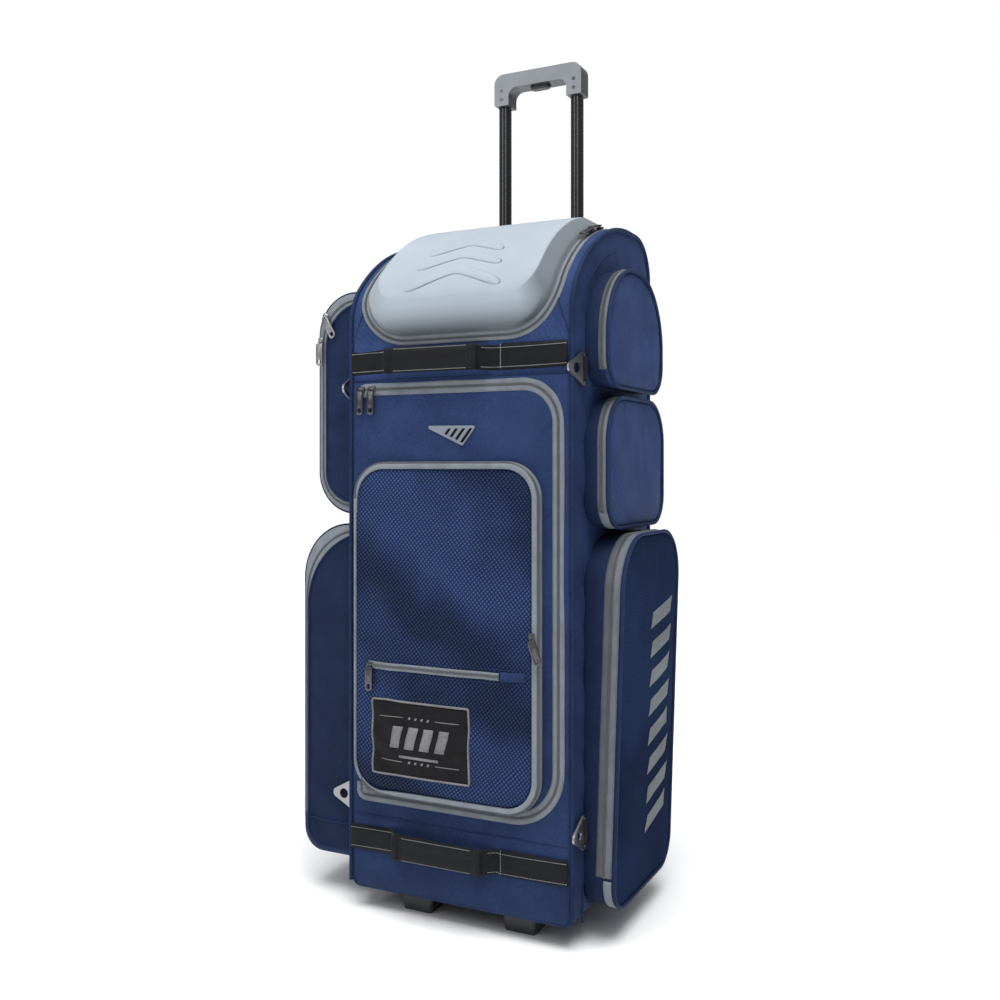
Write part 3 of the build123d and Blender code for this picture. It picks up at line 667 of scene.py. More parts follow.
def build_looks():
    gloss = {"Coat_Weight": 0.4, "Coat_Roughness": 0.18}
    return {
        "navy": twill("navy_twill", NAVY),
        "navy_top": twill("navy_yoke_cloth", tone(NAVY, 1.25), moire=0.05),
        "navy_soft": twill("navy_pocket_cloth", tone(NAVY, 1.3), 1.1, 0.2, 0.07, 45, moire=0.09),
        "navy_dark": twill("navy_gusset_cloth", tone(NAVY, 0.56), pitch=1.3, contrast=0.28),
        "dobby": dobby("navy_dobby", tone(NAVY, 1.0)),
        "dobby_fine": dobby("navy_dobby_fine", (0.0155, 0.0295, 0.076), 2.6, 0.82, Specular_IOR_Level=0.0),
        "piping": twill("navy_piping", tone(NAVY, 0.75), pitch=0.9, contrast=0.2, lift=0.05),
        "gray_piping": twill("gray_piping", (0.2, 0.22, 0.24), pitch=0.9, contrast=0.2, lift=0.05),
        "tape": tape("zip_tape", ZIP_GRAY),
        # Painted shadow and painted shade: darker copies of the zip tape's gray for the right pockets' zips,
        # the bag-side tape in shadow, the flap-side tape in lighter shade.
        "tape_painted_shadow": tape("zip_tape_painted_shadow", tone(ZIP_GRAY, 0.48)),
        "tape_side_painted_shade": tape("zip_tape_side_painted_shade", tone(ZIP_GRAY, 0.74)),
        "tape_light": tape("zip_tape_light", tone(ZIP_GRAY, 1.1)),
        "coil": moulded("zip_coil", (0.085, 0.092, 0.102), (0.3, 0.45), 0.6, 0.03),
        "webbing": webbing("black_webbing", (0.0065, 0.0075, 0.009)),
        "webbing_up": webbing("black_webbing_tabs", (0.0065, 0.0075, 0.009), along=(0.3, 1, 0)),
        "pad": mesh_pad("grip_mesh", (0.006, 0.0065, 0.0075)),
        "lining": twill("gray_lining", (0.14, 0.15, 0.165), pitch=1.2, contrast=0.2, lift=0.05),
        "eva": foam_cloth("eva_skin", (0.38, 0.44, 0.495)),
        "thread": twill("light_thread", (0.42, 0.44, 0.46), pitch=0.8, contrast=0.25, lift=0.04),
        "navy_thread": twill("navy_thread", tone(NAVY, 1.5), pitch=0.8, contrast=0.25, lift=0.04),
        "print": twill("gray_print", (0.17, 0.19, 0.205), pitch=1.1, contrast=0.15, lift=0.05),
        "patch": webbing("patch_weave", (0.006, 0.006, 0.007), pitch=0.9),
        "patch_print": twill("patch_print", (0.2, 0.2, 0.21), pitch=0.8, contrast=0.25, lift=0.05),
        "black_plastic": moulded("black_plastic", (0.016, 0.017, 0.019), (0.35, 0.5)),
        # Painted shade on the grip's sides and underside, down to a fifth.
        "gray_plastic": moulded("gray_plastic", (0.22, 0.235, 0.262), (0.3, 0.42), core=0.2),
        "gray_plastic_dark": moulded("dark_gray_plastic", (0.05, 0.053, 0.06), (0.35, 0.5)),
        "vent": moulded("vent_plastic", (0.19, 0.22, 0.26), (0.3, 0.42)),
        "tube": moulded("gloss_tube", (0.006, 0.0065, 0.008), (0.24, 0.3), 9.0, 0.0, 0.0, **gloss),
        "nickel": metal("nickel", (0.36, 0.36, 0.37), (0.28, 0.4)),
        "gunmetal": metal("gunmetal", (0.12, 0.12, 0.13), (0.25, 0.38)),
        "steel": metal("zinc_steel", (0.5, 0.5, 0.52), (0.28, 0.45)),
        "rubber": rubber("tyre_rubber", (0.018, 0.018, 0.019)),
    }


LOOK = build_looks()

# ---- Trim: piping, stitches, tapes, zips ----

TAPE_THICK = 0.9


def piping(name, path, out, radius, look="piping", body="bag", closed=False):
    return make(name, sweep(path, out, round_section(radius), closed), look, body)


def stitch_row(surface, path, out, side, lift, pitch=3.6, length=2.5, width=0.6, height=0.4):
    """Add a row of thread stitches beside a path."""
    along, across, up = directions(path, out)
    line = path + side * across + lift * up
    spots = resample(line, pitch)
    frames = [unit(carry(vectors, len(spots))) for vectors in (along, across, up)]
    surface.boxes(spots, *frames, (length, width, height), 0.75)


def stitches(name, rows, look="navy_thread", body="bag"):
    """One piece of stitching from rows of (path, out, side offset, lift)."""
    surface = Surface()
    for path, out, side, lift in rows:
        stitch_row(surface, path, out, side, lift)
    return make(name, surface, look, body, weld=0.0)


def coil(steps, out, side, lift, size):
    """Zip teeth on evenly spaced points, to the left and right by turns."""
    along, across, up = directions(steps, out)
    sides = np.where(np.arange(len(steps)) % 2, side, -side)[:, None]
    return Surface().boxes(steps + sides * across + lift * up, along, across, up, size, 0.6)


def zip_chain(name, path, out, bag, flap, outer=7.5, inner=7.5, lift=0.3, looks=("tape", "tape")):
    """A zip along a path, with its flap on the path's left: two tapes, a coil and sewing."""
    path = np.asarray(path, float)
    out = np.broadcast_to(np.asarray(out, float), path.shape)
    bag_tape = sweep(path, out, flat_section(0.9, outer, TAPE_THICK, lift, 0.3))
    make(name + "_tape", bag_tape, looks[0], bag)
    flap_tape = sweep(path, out, flat_section(-inner, -0.9, TAPE_THICK, lift, 0.3))
    make(name + "_flap_tape", flap_tape, looks[1], flap)
    steps = resample(path, 1.7)
    teeth = coil(steps, carry(out, len(steps)), 0.85, lift + 0.6, (1.25, 2.6, 1.5))
    core = sweep(path, out, flat_section(-2.3, 2.3, 0.8, lift), surface=teeth)
    make(name + "_teeth", core, "coil", bag, weld=0.0)
    over = lift + TAPE_THICK * 0.75
    stitches(name + "_sewing", [(path, out, outer - 1.6, over)], "navy_thread", bag)
    stitches(name + "_flap_sewing", [(path, out, 1.6 - inner, over)], "navy_thread", flap)


# ---- Cloth ----

CLOTH_FRAMES = 20
CLOTH_SETTINGS = {
    "quality": 5,
    "mass": 0.25,
    "tension_stiffness": 8.0,
    "compression_stiffness": 8.0,
    "shear_stiffness": 3.2,
    "bending_stiffness": 0.6,
    "air_damping": 2.0,
    "vertex_group_mass": "sewn",
    "use_pressure": True,
}
SEWN = []


def sew(piece, pressure, excess, cap):
    """Ask for the cloth to be run on a panel whose border is sewn down and which is cut a little large."""
    SEWN.append((piece, pressure, excess, cap))
    return piece


def border_of(mesh):
    """The vertices on a mesh's open edges."""
    uses = {}
    for polygon in mesh.polygons:
        for key in polygon.edge_keys:
            uses[key] = uses.get(key, 0) + 1
    return sorted({v for key, count in uses.items() if count == 1 for v in key})


def run_cloth():
    """Simulate every sewn panel at once, cap how far it moves, and write the result into its mesh."""
    for piece, pressure, excess, _ in SEWN:
        group = piece.vertex_groups.new(name="sewn")
        group.add(border_of(piece.data), 1.0, "REPLACE")
        for modifier in piece.modifiers:
            modifier.show_viewport = False
        cloth = piece.modifiers.new("cloth", "CLOTH")
        piece.modifiers.move(len(piece.modifiers) - 1, 0)
        asked = {"shrink_min": -excess, "uniform_pressure_force": pressure}
        for setting, value in {**CLOTH_SETTINGS, **asked}.items():
            setattr(cloth.settings, setting, value)
        cloth.settings.effector_weights.gravity = 0.35
        cloth.collision_settings.use_collision = False
    for step in range(1, CLOTH_FRAMES + 1):
        SCENE.frame_set(step)
    graph = bpy.context.evaluated_depsgraph_get()
    results = []
    for piece, _, _, cap in SEWN:
        start = np.array([v.co for v in piece.data.vertices])
        moved = np.array([v.co for v in piece.evaluated_get(graph).data.vertices])
        move = moved - start
        size = np.linalg.norm(move, axis=1, keepdims=True)
        limit = cap * 0.001
        results.append(start + move / np.maximum(size, 1e-9) * limit * np.tanh(size / limit))
    for (piece, *_), points in zip(SEWN, results):
        piece.modifiers.remove(piece.modifiers["cloth"])
        piece.vertex_groups.clear()
        piece.data.vertices.foreach_set("co", points.ravel())
        piece.data.update()
        for modifier in piece.modifiers:
            modifier.show_viewport = True
    SCENE.frame_set(1)


def slack(piece, amount, size, fade=25.0, shift=0.0):
    """Let a fabric panel hang in soft waves of about this size in millimetres, none at its sewn border."""
    mesh = piece.data
    border = border_of(mesh)
    finder = KDTree(max(len(border), 1))
    for index in border:
        finder.insert(mesh.vertices[index].co, index)
    finder.balance()
    for vertex in mesh.vertices:
        near = finder.find(vertex.co)[2] * 1000 if border else fade
        wave = noise.noise(vertex.co * (1000 / size) + Vector((shift, 0, 0)))
        wave += 0.4 * noise.noise(vertex.co * (2600 / size) + Vector((0, shift, 0)))
        vertex.co += vertex.normal * (wave * amount * 0.001 * float(smooth(near / fade)))


def tree_of(*pieces):
    """A search tree over pieces' meshes, in bag millimetres."""
    points, faces = [], []
    for piece in pieces:
        first = len(points)
        matrix = piece.matrix_world
        points.extend([(matrix @ v.co) * 1000 - Vector((BODY_X, BODY_Y, 0)) for v in piece.data.vertices])
        faces.extend([[first + k for k in polygon.vertices] for polygon in piece.data.polygons])
    return BVHTree.FromPolygons(points, faces)


def drop(tree, points, direction, lift=0.0):
    """Move points along a direction until they meet a surface, then back off by lift."""
    direction = Vector(direction)
    moved = []
    for point in np.asarray(points, float).reshape(-1, 3):
        start = Vector(point) - direction * 60
        hit = tree.ray_cast(start, direction, 120)[0]
        moved.append(tuple((hit if hit is not None else Vector(point)) - direction * lift))
    return np.array(moved).reshape(np.asarray(points).shape)


def dome(grid, rise):
    """How far each point of a grid stands out when its middle is raised, from 0 at the border to rise."""
    rows, columns = grid.shape[:2]
    u = np.linspace(-1, 1, columns)[None, :]
    v = np.linspace(-1, 1, rows)[:, None]
    return rise * (1 - u**4) * (1 - v**4)


# ---- Body ----


def front_point(x, z, out=0.0):
    """The front fabric, which turns back a little at its side and bottom edges."""
    turn = 3.0 * smooth((np.abs(x) - 160) / 10) ** 2 + 4.0 * smooth((46 - z) / 14) ** 2
    return at(x, turn - out, z)


def corner_in(z):
    """How far the body's sides turn in at a height, over the rounded edge along its base."""
    below = np.clip(BASE + BODY_CORNER - np.asarray(z, float), 0, BODY_CORNER)
    return BODY_CORNER - np.sqrt(BODY_CORNER**2 - below**2)


def ring_band(inner, outer, steps, place, billow=0.0):
    """A grid between two closed loops with the same number of points, raised in its middle."""
    rows = []
    for t in np.linspace(0, 1, steps + 1):
        flat = inner * (1 - t) + outer * t
        rows.append(place(flat[:, 0], flat[:, 1], billow * sin(pi * t)))
    return np.array(rows)


DOOR_ZIP = 8.5
LID_S = (LID[0], LID[1], float(s_of_height(LID[2])), float(s_of_depth(LID_BACK)) + LID_FLANGE)
LID_ZIP = 7.5
HINGE_S = float(s_of_depth(LID_HINGE_Y))
BACK_SEAM_S = float(PROFILE_S[-1]) - (BODY_TOP - BACK_RADIUS - BASE)
BOOT_SEAM = 138
STRIP_SEAM_Y = 30


def build_body():
    """The body's fabric: front frame, yoke round the lid, sides, back and bottom, and its edge piping."""
    inner, _ = soft_loop(*DOOR, DOOR_RADII, inset=DOOR_ZIP - 1)
    outer, _ = soft_loop(-SIDE, SIDE, BASE, YOKE_SEAM, (BODY_CORNER, BODY_CORNER, 1, 1))
    surface = around(ring_band(inner, outer, 10, front_point, 1.2))
    front = make("front_fabric", surface, "navy", facing=(0, -1, 0), thick=PANEL_THICK, levels=1)
    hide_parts("front_panel")
    slack(front, 2.0, 95, fade=20)

    counts = dict(along=40, up=30, turn=12)
    radii = (LID_RADIUS, LID_RADIUS, 1, 1)
    hole, _ = soft_loop(LID[0], LID[1], LID_S[2], HINGE_S + LID_ZIP, radii, LID_ZIP - 1, **counts)
    edge, _ = soft_loop(-SIDE, SIDE, float(s_of_height(YOKE_SEAM)), BACK_SEAM_S, (1, 1, 1, 1), **counts)

    def yoke_point(x, s, out):
        return wrap(x, s, out - 3.0 * smooth((np.abs(x) - 160) / 10) ** 2)

    surface = around(ring_band(hole, edge, 14, yoke_point, 1.0))
    yoke = make("yoke_fabric", surface, "navy_top", facing=(0, -0.5, 1), thick=PANEL_THICK, levels=1)
    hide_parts("top_panel")
    slack(yoke, 1.6, 90, fade=20)

    for name, side in (("left", -1), ("right", 1)):
        grid = side_grid()
        rise = dome(grid, 3.5)
        y, z = grid[..., 0], grid[..., 1]
        tuck = 9 * smooth((y - 236) / 5) * smooth((96 - z) / 5)
        edge_turn = 2.4 * (1 - smooth(np.minimum.reduce([border_distance(grid) / 9, np.ones_like(y)])))
        points = at(side * (SIDE + 0.2 + rise - tuck - edge_turn - corner_in(z)), y, z)
        facing = (side, 0, 0)
        fabric = make(name + "_side_fabric", points, "navy", facing=facing, thick=PANEL_THICK, levels=1)
        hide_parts(name + "_side_panel")
        slack(sew(fabric, pressure=1.2, excess=0.006, cap=4), 2.0, 140, shift=side)
        s = np.arange(BODY_CORNER * 0.7, PROFILE_S[-1] - 60, 4)
        path = wrap(side * (SIDE + 0.4 - corner_in(BASE + s)), s, -0.6)
        out = at(side, *wrap_out(s)[:, 1:].T)
        piping(name + "_edge_piping", path, out, 3.0)
        inner_s = np.arange(0, s_of_depth(150), 5)
        inset = wrap(np.full_like(inner_s, side * (SIDE + 2.2)), inner_s, -STRIP_SEAM_Y)
        piping(name + "_strip_piping", inset, (side, 0, 0), 1.5)

    x = np.linspace(-SIDE + 1, SIDE - 1, 44)
    z = np.linspace(BASE + 2, BODY_TOP - BACK_RADIUS, 84)
    xx, zz = np.meshgrid(x, z)
    grid = np.stack([xx, zz], -1)
    bulge = dome(grid, 2.0) - 2.4 * smooth((np.abs(xx) - 160) / 9) ** 2
    tuck = 9 * smooth((np.abs(xx) - 108) / 5) * smooth((96 - zz) / 5)
    points = at(xx * (1 - corner_in(zz) / SIDE), DEPTH + bulge - tuck, zz)
    back = make("back_fabric", points, "navy", facing=(0, 1, 0), thick=PANEL_THICK, levels=1)
    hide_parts("back_panel")
    slack(sew(back, pressure=1.0, excess=0.005, cap=3), 1.5, 150)

    y = np.linspace(3, DEPTH - 2, 20)
    reach = SIDE - 2 - float(corner_in(BASE + 1))
    x = np.linspace(-reach, reach, 24)
    xx, yy = np.meshgrid(x, y)
    lift = 9 * smooth((np.abs(xx) - 106) / 6) * smooth((yy - 234) / 6) + 2.5 * (1 - smooth((yy - 3) / 14))
    points = at(xx, yy, BASE + lift)
    bottom = make("bottom_fabric", points, "navy_dark", facing=(0, 0, -1), thick=PANEL_THICK)
    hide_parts("bottom_panel")


def side_grid():
    """A grid over the side profile, a millimetre inside its edge."""
    s_top_front = SHOULDER_START - BASE + 40
    s_top_back = BACK_SEAM_S - 40
    s = np.arange(0, BACK_SEAM_S + BODY_TOP - BACK_RADIUS - BASE, 2.0)
    fine = np.stack(on_profile(PROFILE, s), 1) - np.stack(on_profile(PROFILE_OUT, s), 1)
    fine[:, 1] = np.maximum(fine[:, 1], BASE + 1)
    up, along = 100, 40
    front = resample(fine[: int(s_top_front / 2)], 1)
    over = resample(fine[int(s_top_front / 2) : int(s_top_back / 2)], 1)
    back = resample(fine[int(s_top_back / 2) :], 1)

    def count(path, n):
        places = np.linspace(0, len(path) - 1, n + 1)
        return np.stack([np.interp(places, np.arange(len(path)), path[:, k]) for k in (0, 1)], 1)

    low = np.stack([np.linspace(front[0, 0], back[-1, 0], along + 1), np.full(along + 1, BASE + 1.0)], 1)
    left = count(np.vstack([front, over[:1]]), up)
    high = count(np.vstack([over, back[:1]]), along)
    right = count(back, up)[::-1]
    loop = np.vstack([low[:-1], right[:-1], high[::-1][:-1], left[::-1][:-1]])
    return fill(loop, along, up)


def border_distance(grid):
    """Roughly how far each point of a grid lies from the grid's border."""
    edge = np.vstack([grid[0], grid[-1], grid[:, 0], grid[:, -1]])
    flat = grid.reshape(-1, 2)
    return np.min(np.linalg.norm(flat[:, None] - edge[None, ::2], axis=2), axis=1).reshape(grid.shape[:2])


def build_body_trim():
    """Seams, sewing and piping on the body's front and back."""
    front = (0, -1, 0)
    x = np.linspace(-164, 164, 80)
    seam = front_point(x, BOOT_SEAM, 0.4)
    piping("boot_seam", seam, front, 1.5)
    below = front_point(x, BOOT_SEAM - 4, 0.5)
    yoke = front_point(x, YOKE_SEAM + 0.5, 0.5)
    piping("yoke_seam", yoke, front, 1.2)
    rows = [(below, front, 0, 0.2), (front_point(x, YOKE_SEAM + 4, 0.5), front, 0, 0.3)]
    for side in (-1, 1):
        t = np.linspace(0, 1, 16)
        s = s_of_height(846 - 52 * t)
        diagonal = wrap(side * (150 + 19 * t), s, 0.6)
        piping(("left" if side < 0 else "right") + "_yoke_seam", diagonal, (0, -1, 0.1), 1.2)
        z = np.arange(BASE + 12, 760, 4.0)
        rows.append((front_point(np.full_like(z, side * 165.5), z, 0.3), front, 0, 0.3))
    stitches("front_sewing", rows)

    loop, _ = soft_loop(-132, 132, 150, 880, (30, 30, 30, 30), along=60, up=130, turn=14)
    tree = tree_of(bpy.data.objects["back_fabric"])
    path = drop(tree, at(loop[:, 0], DEPTH + 6.0, loop[:, 1]), (0, -1, 0), 0.2)
    piping("back_panel_piping", path, (0, 1, 0), 1.6, closed=True)
    rows = []
    for x in (-66, 0, 66):
        z = np.arange(160, 872, 4.0)
        line = drop(tree, at(x, DEPTH + 6, z), (0, -1, 0), 0.1)
        rows.append((line, (0, 1, 0), 0, 0.1))
    stitches("back_quilting", rows)


# ---- Door ----


def build_door():
    """The front door: its zip, its panel and the vent badge."""
    front = (0, -1, 0)
    loop, _ = soft_loop(*DOOR, DOOR_RADII, inset=DOOR_ZIP, along=70, up=120, turn=14)
    hinge_x = DOOR[0] + DOOR_ZIP
    path = stretch(resample(loop, 4, closed=True), (hinge_x, DOOR[2] + 24), (hinge_x, DOOR[3] - 18))
    points = front_point(path[:, 0], path[:, 1], 0.2)
    zip_chain("door_zip", points, front, "bag", "door", 8.5, 8.5)

    counts = dict(along=26, up=52, turn=8)
    inner, _ = soft_loop(DOOR[0] + 4, DOOR[1] - 15, DOOR[2] + 15, DOOR[3] - 15, (10, 62, 48, 10), **counts)
    grid = fill(inner, 26 + 8, 52 + 8)
    points = at(grid[..., 0], -0.3 - dome(grid, 1.5), grid[..., 1])
    door = make("door_fabric", points, "navy", "door", front, thick=PANEL_THICK, levels=1)
    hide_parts("door_panel")
    slack(sew(door, pressure=1.0, excess=0.006, cap=3), 1.2, 120)

    mesh = Surface().cap([(-34, -0.7, 682), (10, -0.7, 661), (28, -0.7, 682)])
    make("vent_mesh", mesh, "webbing", "door", front, thick=PRINT_THICK)
    dress("door_vent", "vent", 0.5)


def press_door():
    """Hold the door's fabric flat behind the vent."""
    middle, half = row((-9, 0, 671)), (0.046, 0.019)
    mesh = bpy.data.objects["door_fabric"].data
    for vertex in mesh.vertices:
        away = max(abs(vertex.co.x - middle[0]) / half[0], abs(vertex.co.z - middle[2]) / half[1])
        hold = float(smooth((1.7 - away) / 0.6))
        vertex.co.y += hold * (middle[1] - 0.0003 - vertex.co.y)


# ---- Pouch ----

POUCH_FACE = (POUCH[0] + 3, POUCH[1] - 9, POUCH[2] + 9, POUCH[3] - 9)


def build_pouch():
    """The pouch on the door: a wall all round it and a padded face with a soft diagonal hollow."""
    front = (0, -1, 0)
    counts = dict(along=40, up=64, turn=12)
    rows = []
    for out, inset in ((0.4, -0.5), (2, 0.2), (6, -0.3), (10, 0.0), (13, 0.8), (15, 2.6), (15.6, 4.4)):
        ring, _ = soft_loop(*POUCH, (POUCH_RADIUS,) * 4, inset=inset, **counts)
        rows.append(at(ring[:, 0], -out, ring[:, 1]))
    wall = make("pouch_wall", around(rows), "navy_soft", "pouch", levels=1, thick=POCKET_THICK)
    face_loop, _ = soft_loop(*POUCH_FACE, (42, 40, 40, 42), along=30, up=56, turn=8)
    grid = fill(face_loop, 38, 64)
    across = (grid[..., 1] - 500 + 0.62 * grid[..., 0]) / 42
    sag = 7.5 * np.exp(-(across**2)) * np.minimum(dome(grid, 1.6), 1)
    points = at(grid[..., 0], -15.2 - dome(grid, 4.5) + sag, grid[..., 1])
    face = make("pouch_face", points, "dobby", "pouch", front, levels=1, thick=POCKET_THICK)
    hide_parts("pouch_panel")
    sew(face, pressure=1.6, excess=0.012, cap=5)
    slack(face, 4.0, 170, fade=60, shift=3.0)


def build_pouch_trim():
    """The pouch's zip along three sides, its piping, the small zip across it and the sewn label."""
    front = (0, -1, 0)
    loop, outward = soft_loop(*POUCH, (POUCH_RADIUS,) * 4, inset=1.2, along=60, up=110, turn=20)
    both = resample(np.hstack([loop, outward]), 4, closed=True)
    part = stretch(both, (POUCH[0] + 12, POUCH[2] + 16), (POUCH[0] + 1, POUCH[3] - 70))
    reach = np.linspace(0, 1, len(part))
    narrow = 0.22 + 0.78 * smooth(np.minimum(reach, 1 - reach) * 11)[:, None, None]
    across = unit(part[:, 2:])
    edge = at(part[:, 0], -13.6, part[:, 1])
    lean = unit(at(across[:, 0], -1.0, across[:, 1]))
    wall_out = at(across[:, 0], 0, across[:, 1])
    inner = edge.copy()
    inner[:, [0, 2]] -= across * 4.0
    inner[:, 1] = -15.9
    section = flat_section(-3.6, 4.0, 1.1, 0, 0.4) * np.concatenate([narrow, np.ones_like(narrow)], 2)
    make("pouch_zip_inner_tape", sweep(inner, front, section), "tape_light", "pouch")
    outer = edge.copy()
    outer[:, [0, 2]] += across * 1.6
    outer[:, 1] = -8.2
    section = flat_section(-4.4, 4.6, 1.0, 0, 0.3)
    make("pouch_zip_outer_tape", sweep(outer, wall_out, section), "tape", "pouch")
    steps = resample(np.hstack([edge, lean]), 1.7)
    teeth = coil(steps[:, :3], steps[:, 3:], 0.85, 1.2, (1.25, 2.6, 1.5))
    sweep(edge, lean, flat_section(-2.6, 2.6, 1.4, 0.2), surface=teeth)
    make("pouch_zip_teeth", teeth, "coil", "pouch", weld=0.0)
    rows = [(inner, front, -3.4, 1.0), (outer, wall_out, 3.2, 0.9)]
    stitches("pouch_zip_sewing", rows, "navy_thread", "pouch")

    left = stretch(both, (POUCH[0] + 1, POUCH[3] - 50), (POUCH[0] + 12, POUCH[2] + 16))
    out = unit(left[:, 2:])
    line = at(left[:, 0] - out[:, 0], -15.2, left[:, 1] - out[:, 1])
    piping("pouch_piping", line, front, 2.3, "gray_piping", "pouch")

    tree = tree_of(bpy.data.objects["pouch_face"])

    def level_line(start, end, z, lift):
        x = np.arange(start, end, 3.0)
        return drop(tree, at(x, -20, z), (0, 1, 0), lift)

    line = level_line(-128, 78, SMALL_ZIP_Z, 0.2)
    zip_chain("pouch_small_zip", line, front, "pouch", "pouch", 5, 5, looks=("tape", "tape"))
    tab = sweep(level_line(78, 112, SMALL_ZIP_Z, 0.2), front, flat_section(-6.5, 6.5, 1.2, 0, 0.4))
    make("pouch_zip_garage", tab, "navy", "pouch")
    rows = [(level_line(-140, 122, SMALL_ZIP_Z + up, 0.1), front, 0, 0.1) for up in (9, -9)]
    stitches("pouch_seam_sewing", rows, "navy_thread", "pouch")
    build_patch(tree)


def build_patch(tree):
    """The sewn label: a woven ground with a merrowed edge and plain marks, with nothing to read."""
    front = (0, -1, 0)
    left, right, low, high = PATCH
    xx, zz = np.meshgrid(np.linspace(left, right, 40), np.linspace(low, high, 27))
    ground = drop(tree, at(xx, -20, zz), (0, 1, 0), 1.0)
    patch = make("label_ground", ground, "patch", "pouch", front, thick=POCKET_THICK)
    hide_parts("pouch_patch")
    loop, _ = soft_loop(left, right, low, high, (2, 2, 2, 2), along=44, up=30, turn=6)
    path = resample(loop, 3, closed=True)
    path = drop(tree, at(path[:, 0], -20, path[:, 1]), (0, 1, 0), 0.9)
    edge = sweep(path, front, round_section(1.5), closed=True)
    make("label_edge", edge, "patch_print", "pouch")
    marks = Surface()

    def mark(x, z, width, height, slant=0.0):
        u, v = np.meshgrid(np.linspace(-0.5, 0.5, 4), np.linspace(-0.5, 0.5, 6))
        grid = at(x + u * width + v * slant, -20, z + v * height)
        marks.grid(drop(tree, grid, (0, 1, 0), 1.25))

    middle = (left + right) / 2
    for z in (high - 22, low + 20):
        for side in (-1, 1):
            mark(middle + side * 44, z, 36, 1.2)
        for k in range(4):
            mark(middle - 15 + 10 * k, z, 3.4, 3.4, 1.5)
    for k in range(4):
        mark(middle - 36 + 24 * k, low + 53, 15, 30, 7)
    mark(middle, low + 27, 62, 3.5)
    make("label_marks", marks, "patch_print", "pouch", front, thick=MARK_THICK, inward=False)


# ---- Lid ----


def lid_loop(inset, **counts):
    return soft_loop(*LID_S, (LID_RADIUS, LID_RADIUS, 34, 34), inset, **counts)[0]


LID_SLOPES = {"side": 20.0, "low": 44.0, "high": 24.0}


def lid_ring(t, beyond=0.0, **counts):
    """The lid's outline part of the way up its sloping sides, which are longest at the front."""
    left, right, low, high = LID_S
    side, front, back = (LID_FLANGE + t * LID_SLOPES[k] + beyond for k in ("side", "low", "high"))
    round_low, round_high = LID_RADIUS - LID_FLANGE - 30 * t, 34 - LID_FLANGE - 6 * t
    radii = (round_low, round_low, round_high, round_high)
    return soft_loop(left + side, right - side, low + front, high - back, radii, **counts)[0]


def lid_rise(t):
    """Height over the flange from the lid's foot, t 0, up its sloping side to its flat top, t 1."""
    return (LID_RISE - 1.5) * (0.30 * smooth(t / 0.12) + 0.70 * np.clip((t - 0.04) / 0.96, 0, 1))


def build_lid():
    """The moulded lid, its zip and the strip of fabric that it hinges on."""
    counts = dict(along=60, up=60, turn=16)
    rows = [wrap(*lid_loop(LID_FLANGE - 2, **counts).T, 0.8)]
    for t in (0, 0.03, 0.06, 0.1, 0.2, 0.35, 0.5, 0.65, 0.8, 0.92, 0.97, 1.0):
        rows.append(wrap(*lid_ring(t, **counts).T, 1.0 + lid_rise(t)))
    last = lid_ring(1, 4.0, **counts)
    surface = around(rows + [wrap(*last.T, 1.6 + lid_rise(1.0))])
    grid = fill(last, counts["along"] + counts["turn"], counts["up"] + counts["turn"])
    surface.grid(wrap(grid[..., 0], grid[..., 1], 1.6 + lid_rise(1.0) + dome(grid, 0.8)))
    lid = make("lid_dome", surface, "eva", "lid", (0, -0.6, 1), thick=2.5, levels=1)
    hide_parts("lid_shell")

    radii = (LID_RADIUS, LID_RADIUS, 1, 1)
    counts = dict(along=60, up=70, turn=18)
    outline, _ = soft_loop(LID[0], LID[1], LID_S[2], HINGE_S + 40, radii, LID_ZIP, **counts)
    end = float(s_of_depth(205))
    path = stretch(resample(outline, 4, closed=True), (LID[0] + LID_ZIP, end), (LID[1] - LID_ZIP, end))
    points, out = wrap(path[:, 0], path[:, 1], 0.3), wrap_out(path[:, 1])
    zip_chain("lid_zip", points, out, "bag", "lid", 6.5, 6.5, looks=("tape", "tape_light"))

    s = np.linspace(float(s_of_depth(LID_BACK)) - 6, HINGE_S + 16, 12)
    xx, ss = np.meshgrid(np.linspace(-150, 150, 40), s)
    strip = wrap(xx, ss, 1.0)
    hinge = make("lid_hinge_fabric", strip, "navy", None, (0, 0, 1), thick=BAND_THICK, levels=1)
    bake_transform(hinge)
    build_emblem(lid)


def build_emblem(lid):
    """Three plain raised chevrons on the lid, pressed from the same foam."""
    tree = tree_of(lid)
    surface = Surface()
    foot = float(s_of_height(862))
    for k in range(3):
        t = np.linspace(-1, 1, 61)
        x = (74 - 8 * k) * t
        s = foot + 30 * k + 26 * (1 - np.sqrt(t * t + 0.02))
        path = drop_wrap(tree, x, s)
        width = 7.0 * (1 - t**8) ** 0.5 + 0.4
        angles = np.linspace(0, tau, 14, endpoint=False)
        oval = np.stack([np.cos(angles), np.sin(angles) * 0.30], 1)
        sweep(path, wrap_out(s), oval[None] * width[:, None, None], surface=surface)
    make("lid_emblem", surface, "eva", "lid", levels=1)


def drop_wrap(tree, x, s):
    """Points over the wrap at x and s, set down on a surface above it."""
    moved = []
    for point, direction in zip(wrap(x, s, 60), wrap_out(s)):
        hit = tree.ray_cast(Vector(point), -Vector(direction), 120)[0]
        moved.append(np.array(hit if hit is not None else point - 60 * direction))
    return np.array(moved)


# ---- Right pockets ----

# How far the zip lies behind the face, and its tapes' widths towards the bag and towards the face
RIGHT_ZIPS = {
    "right_top": (8.5, 5.5, 5.5),
    "right_middle": (9.0, 6.5, 6.0),
    "right_lower": (14.0, 11.0, 11.0),
}
BLENDS = []


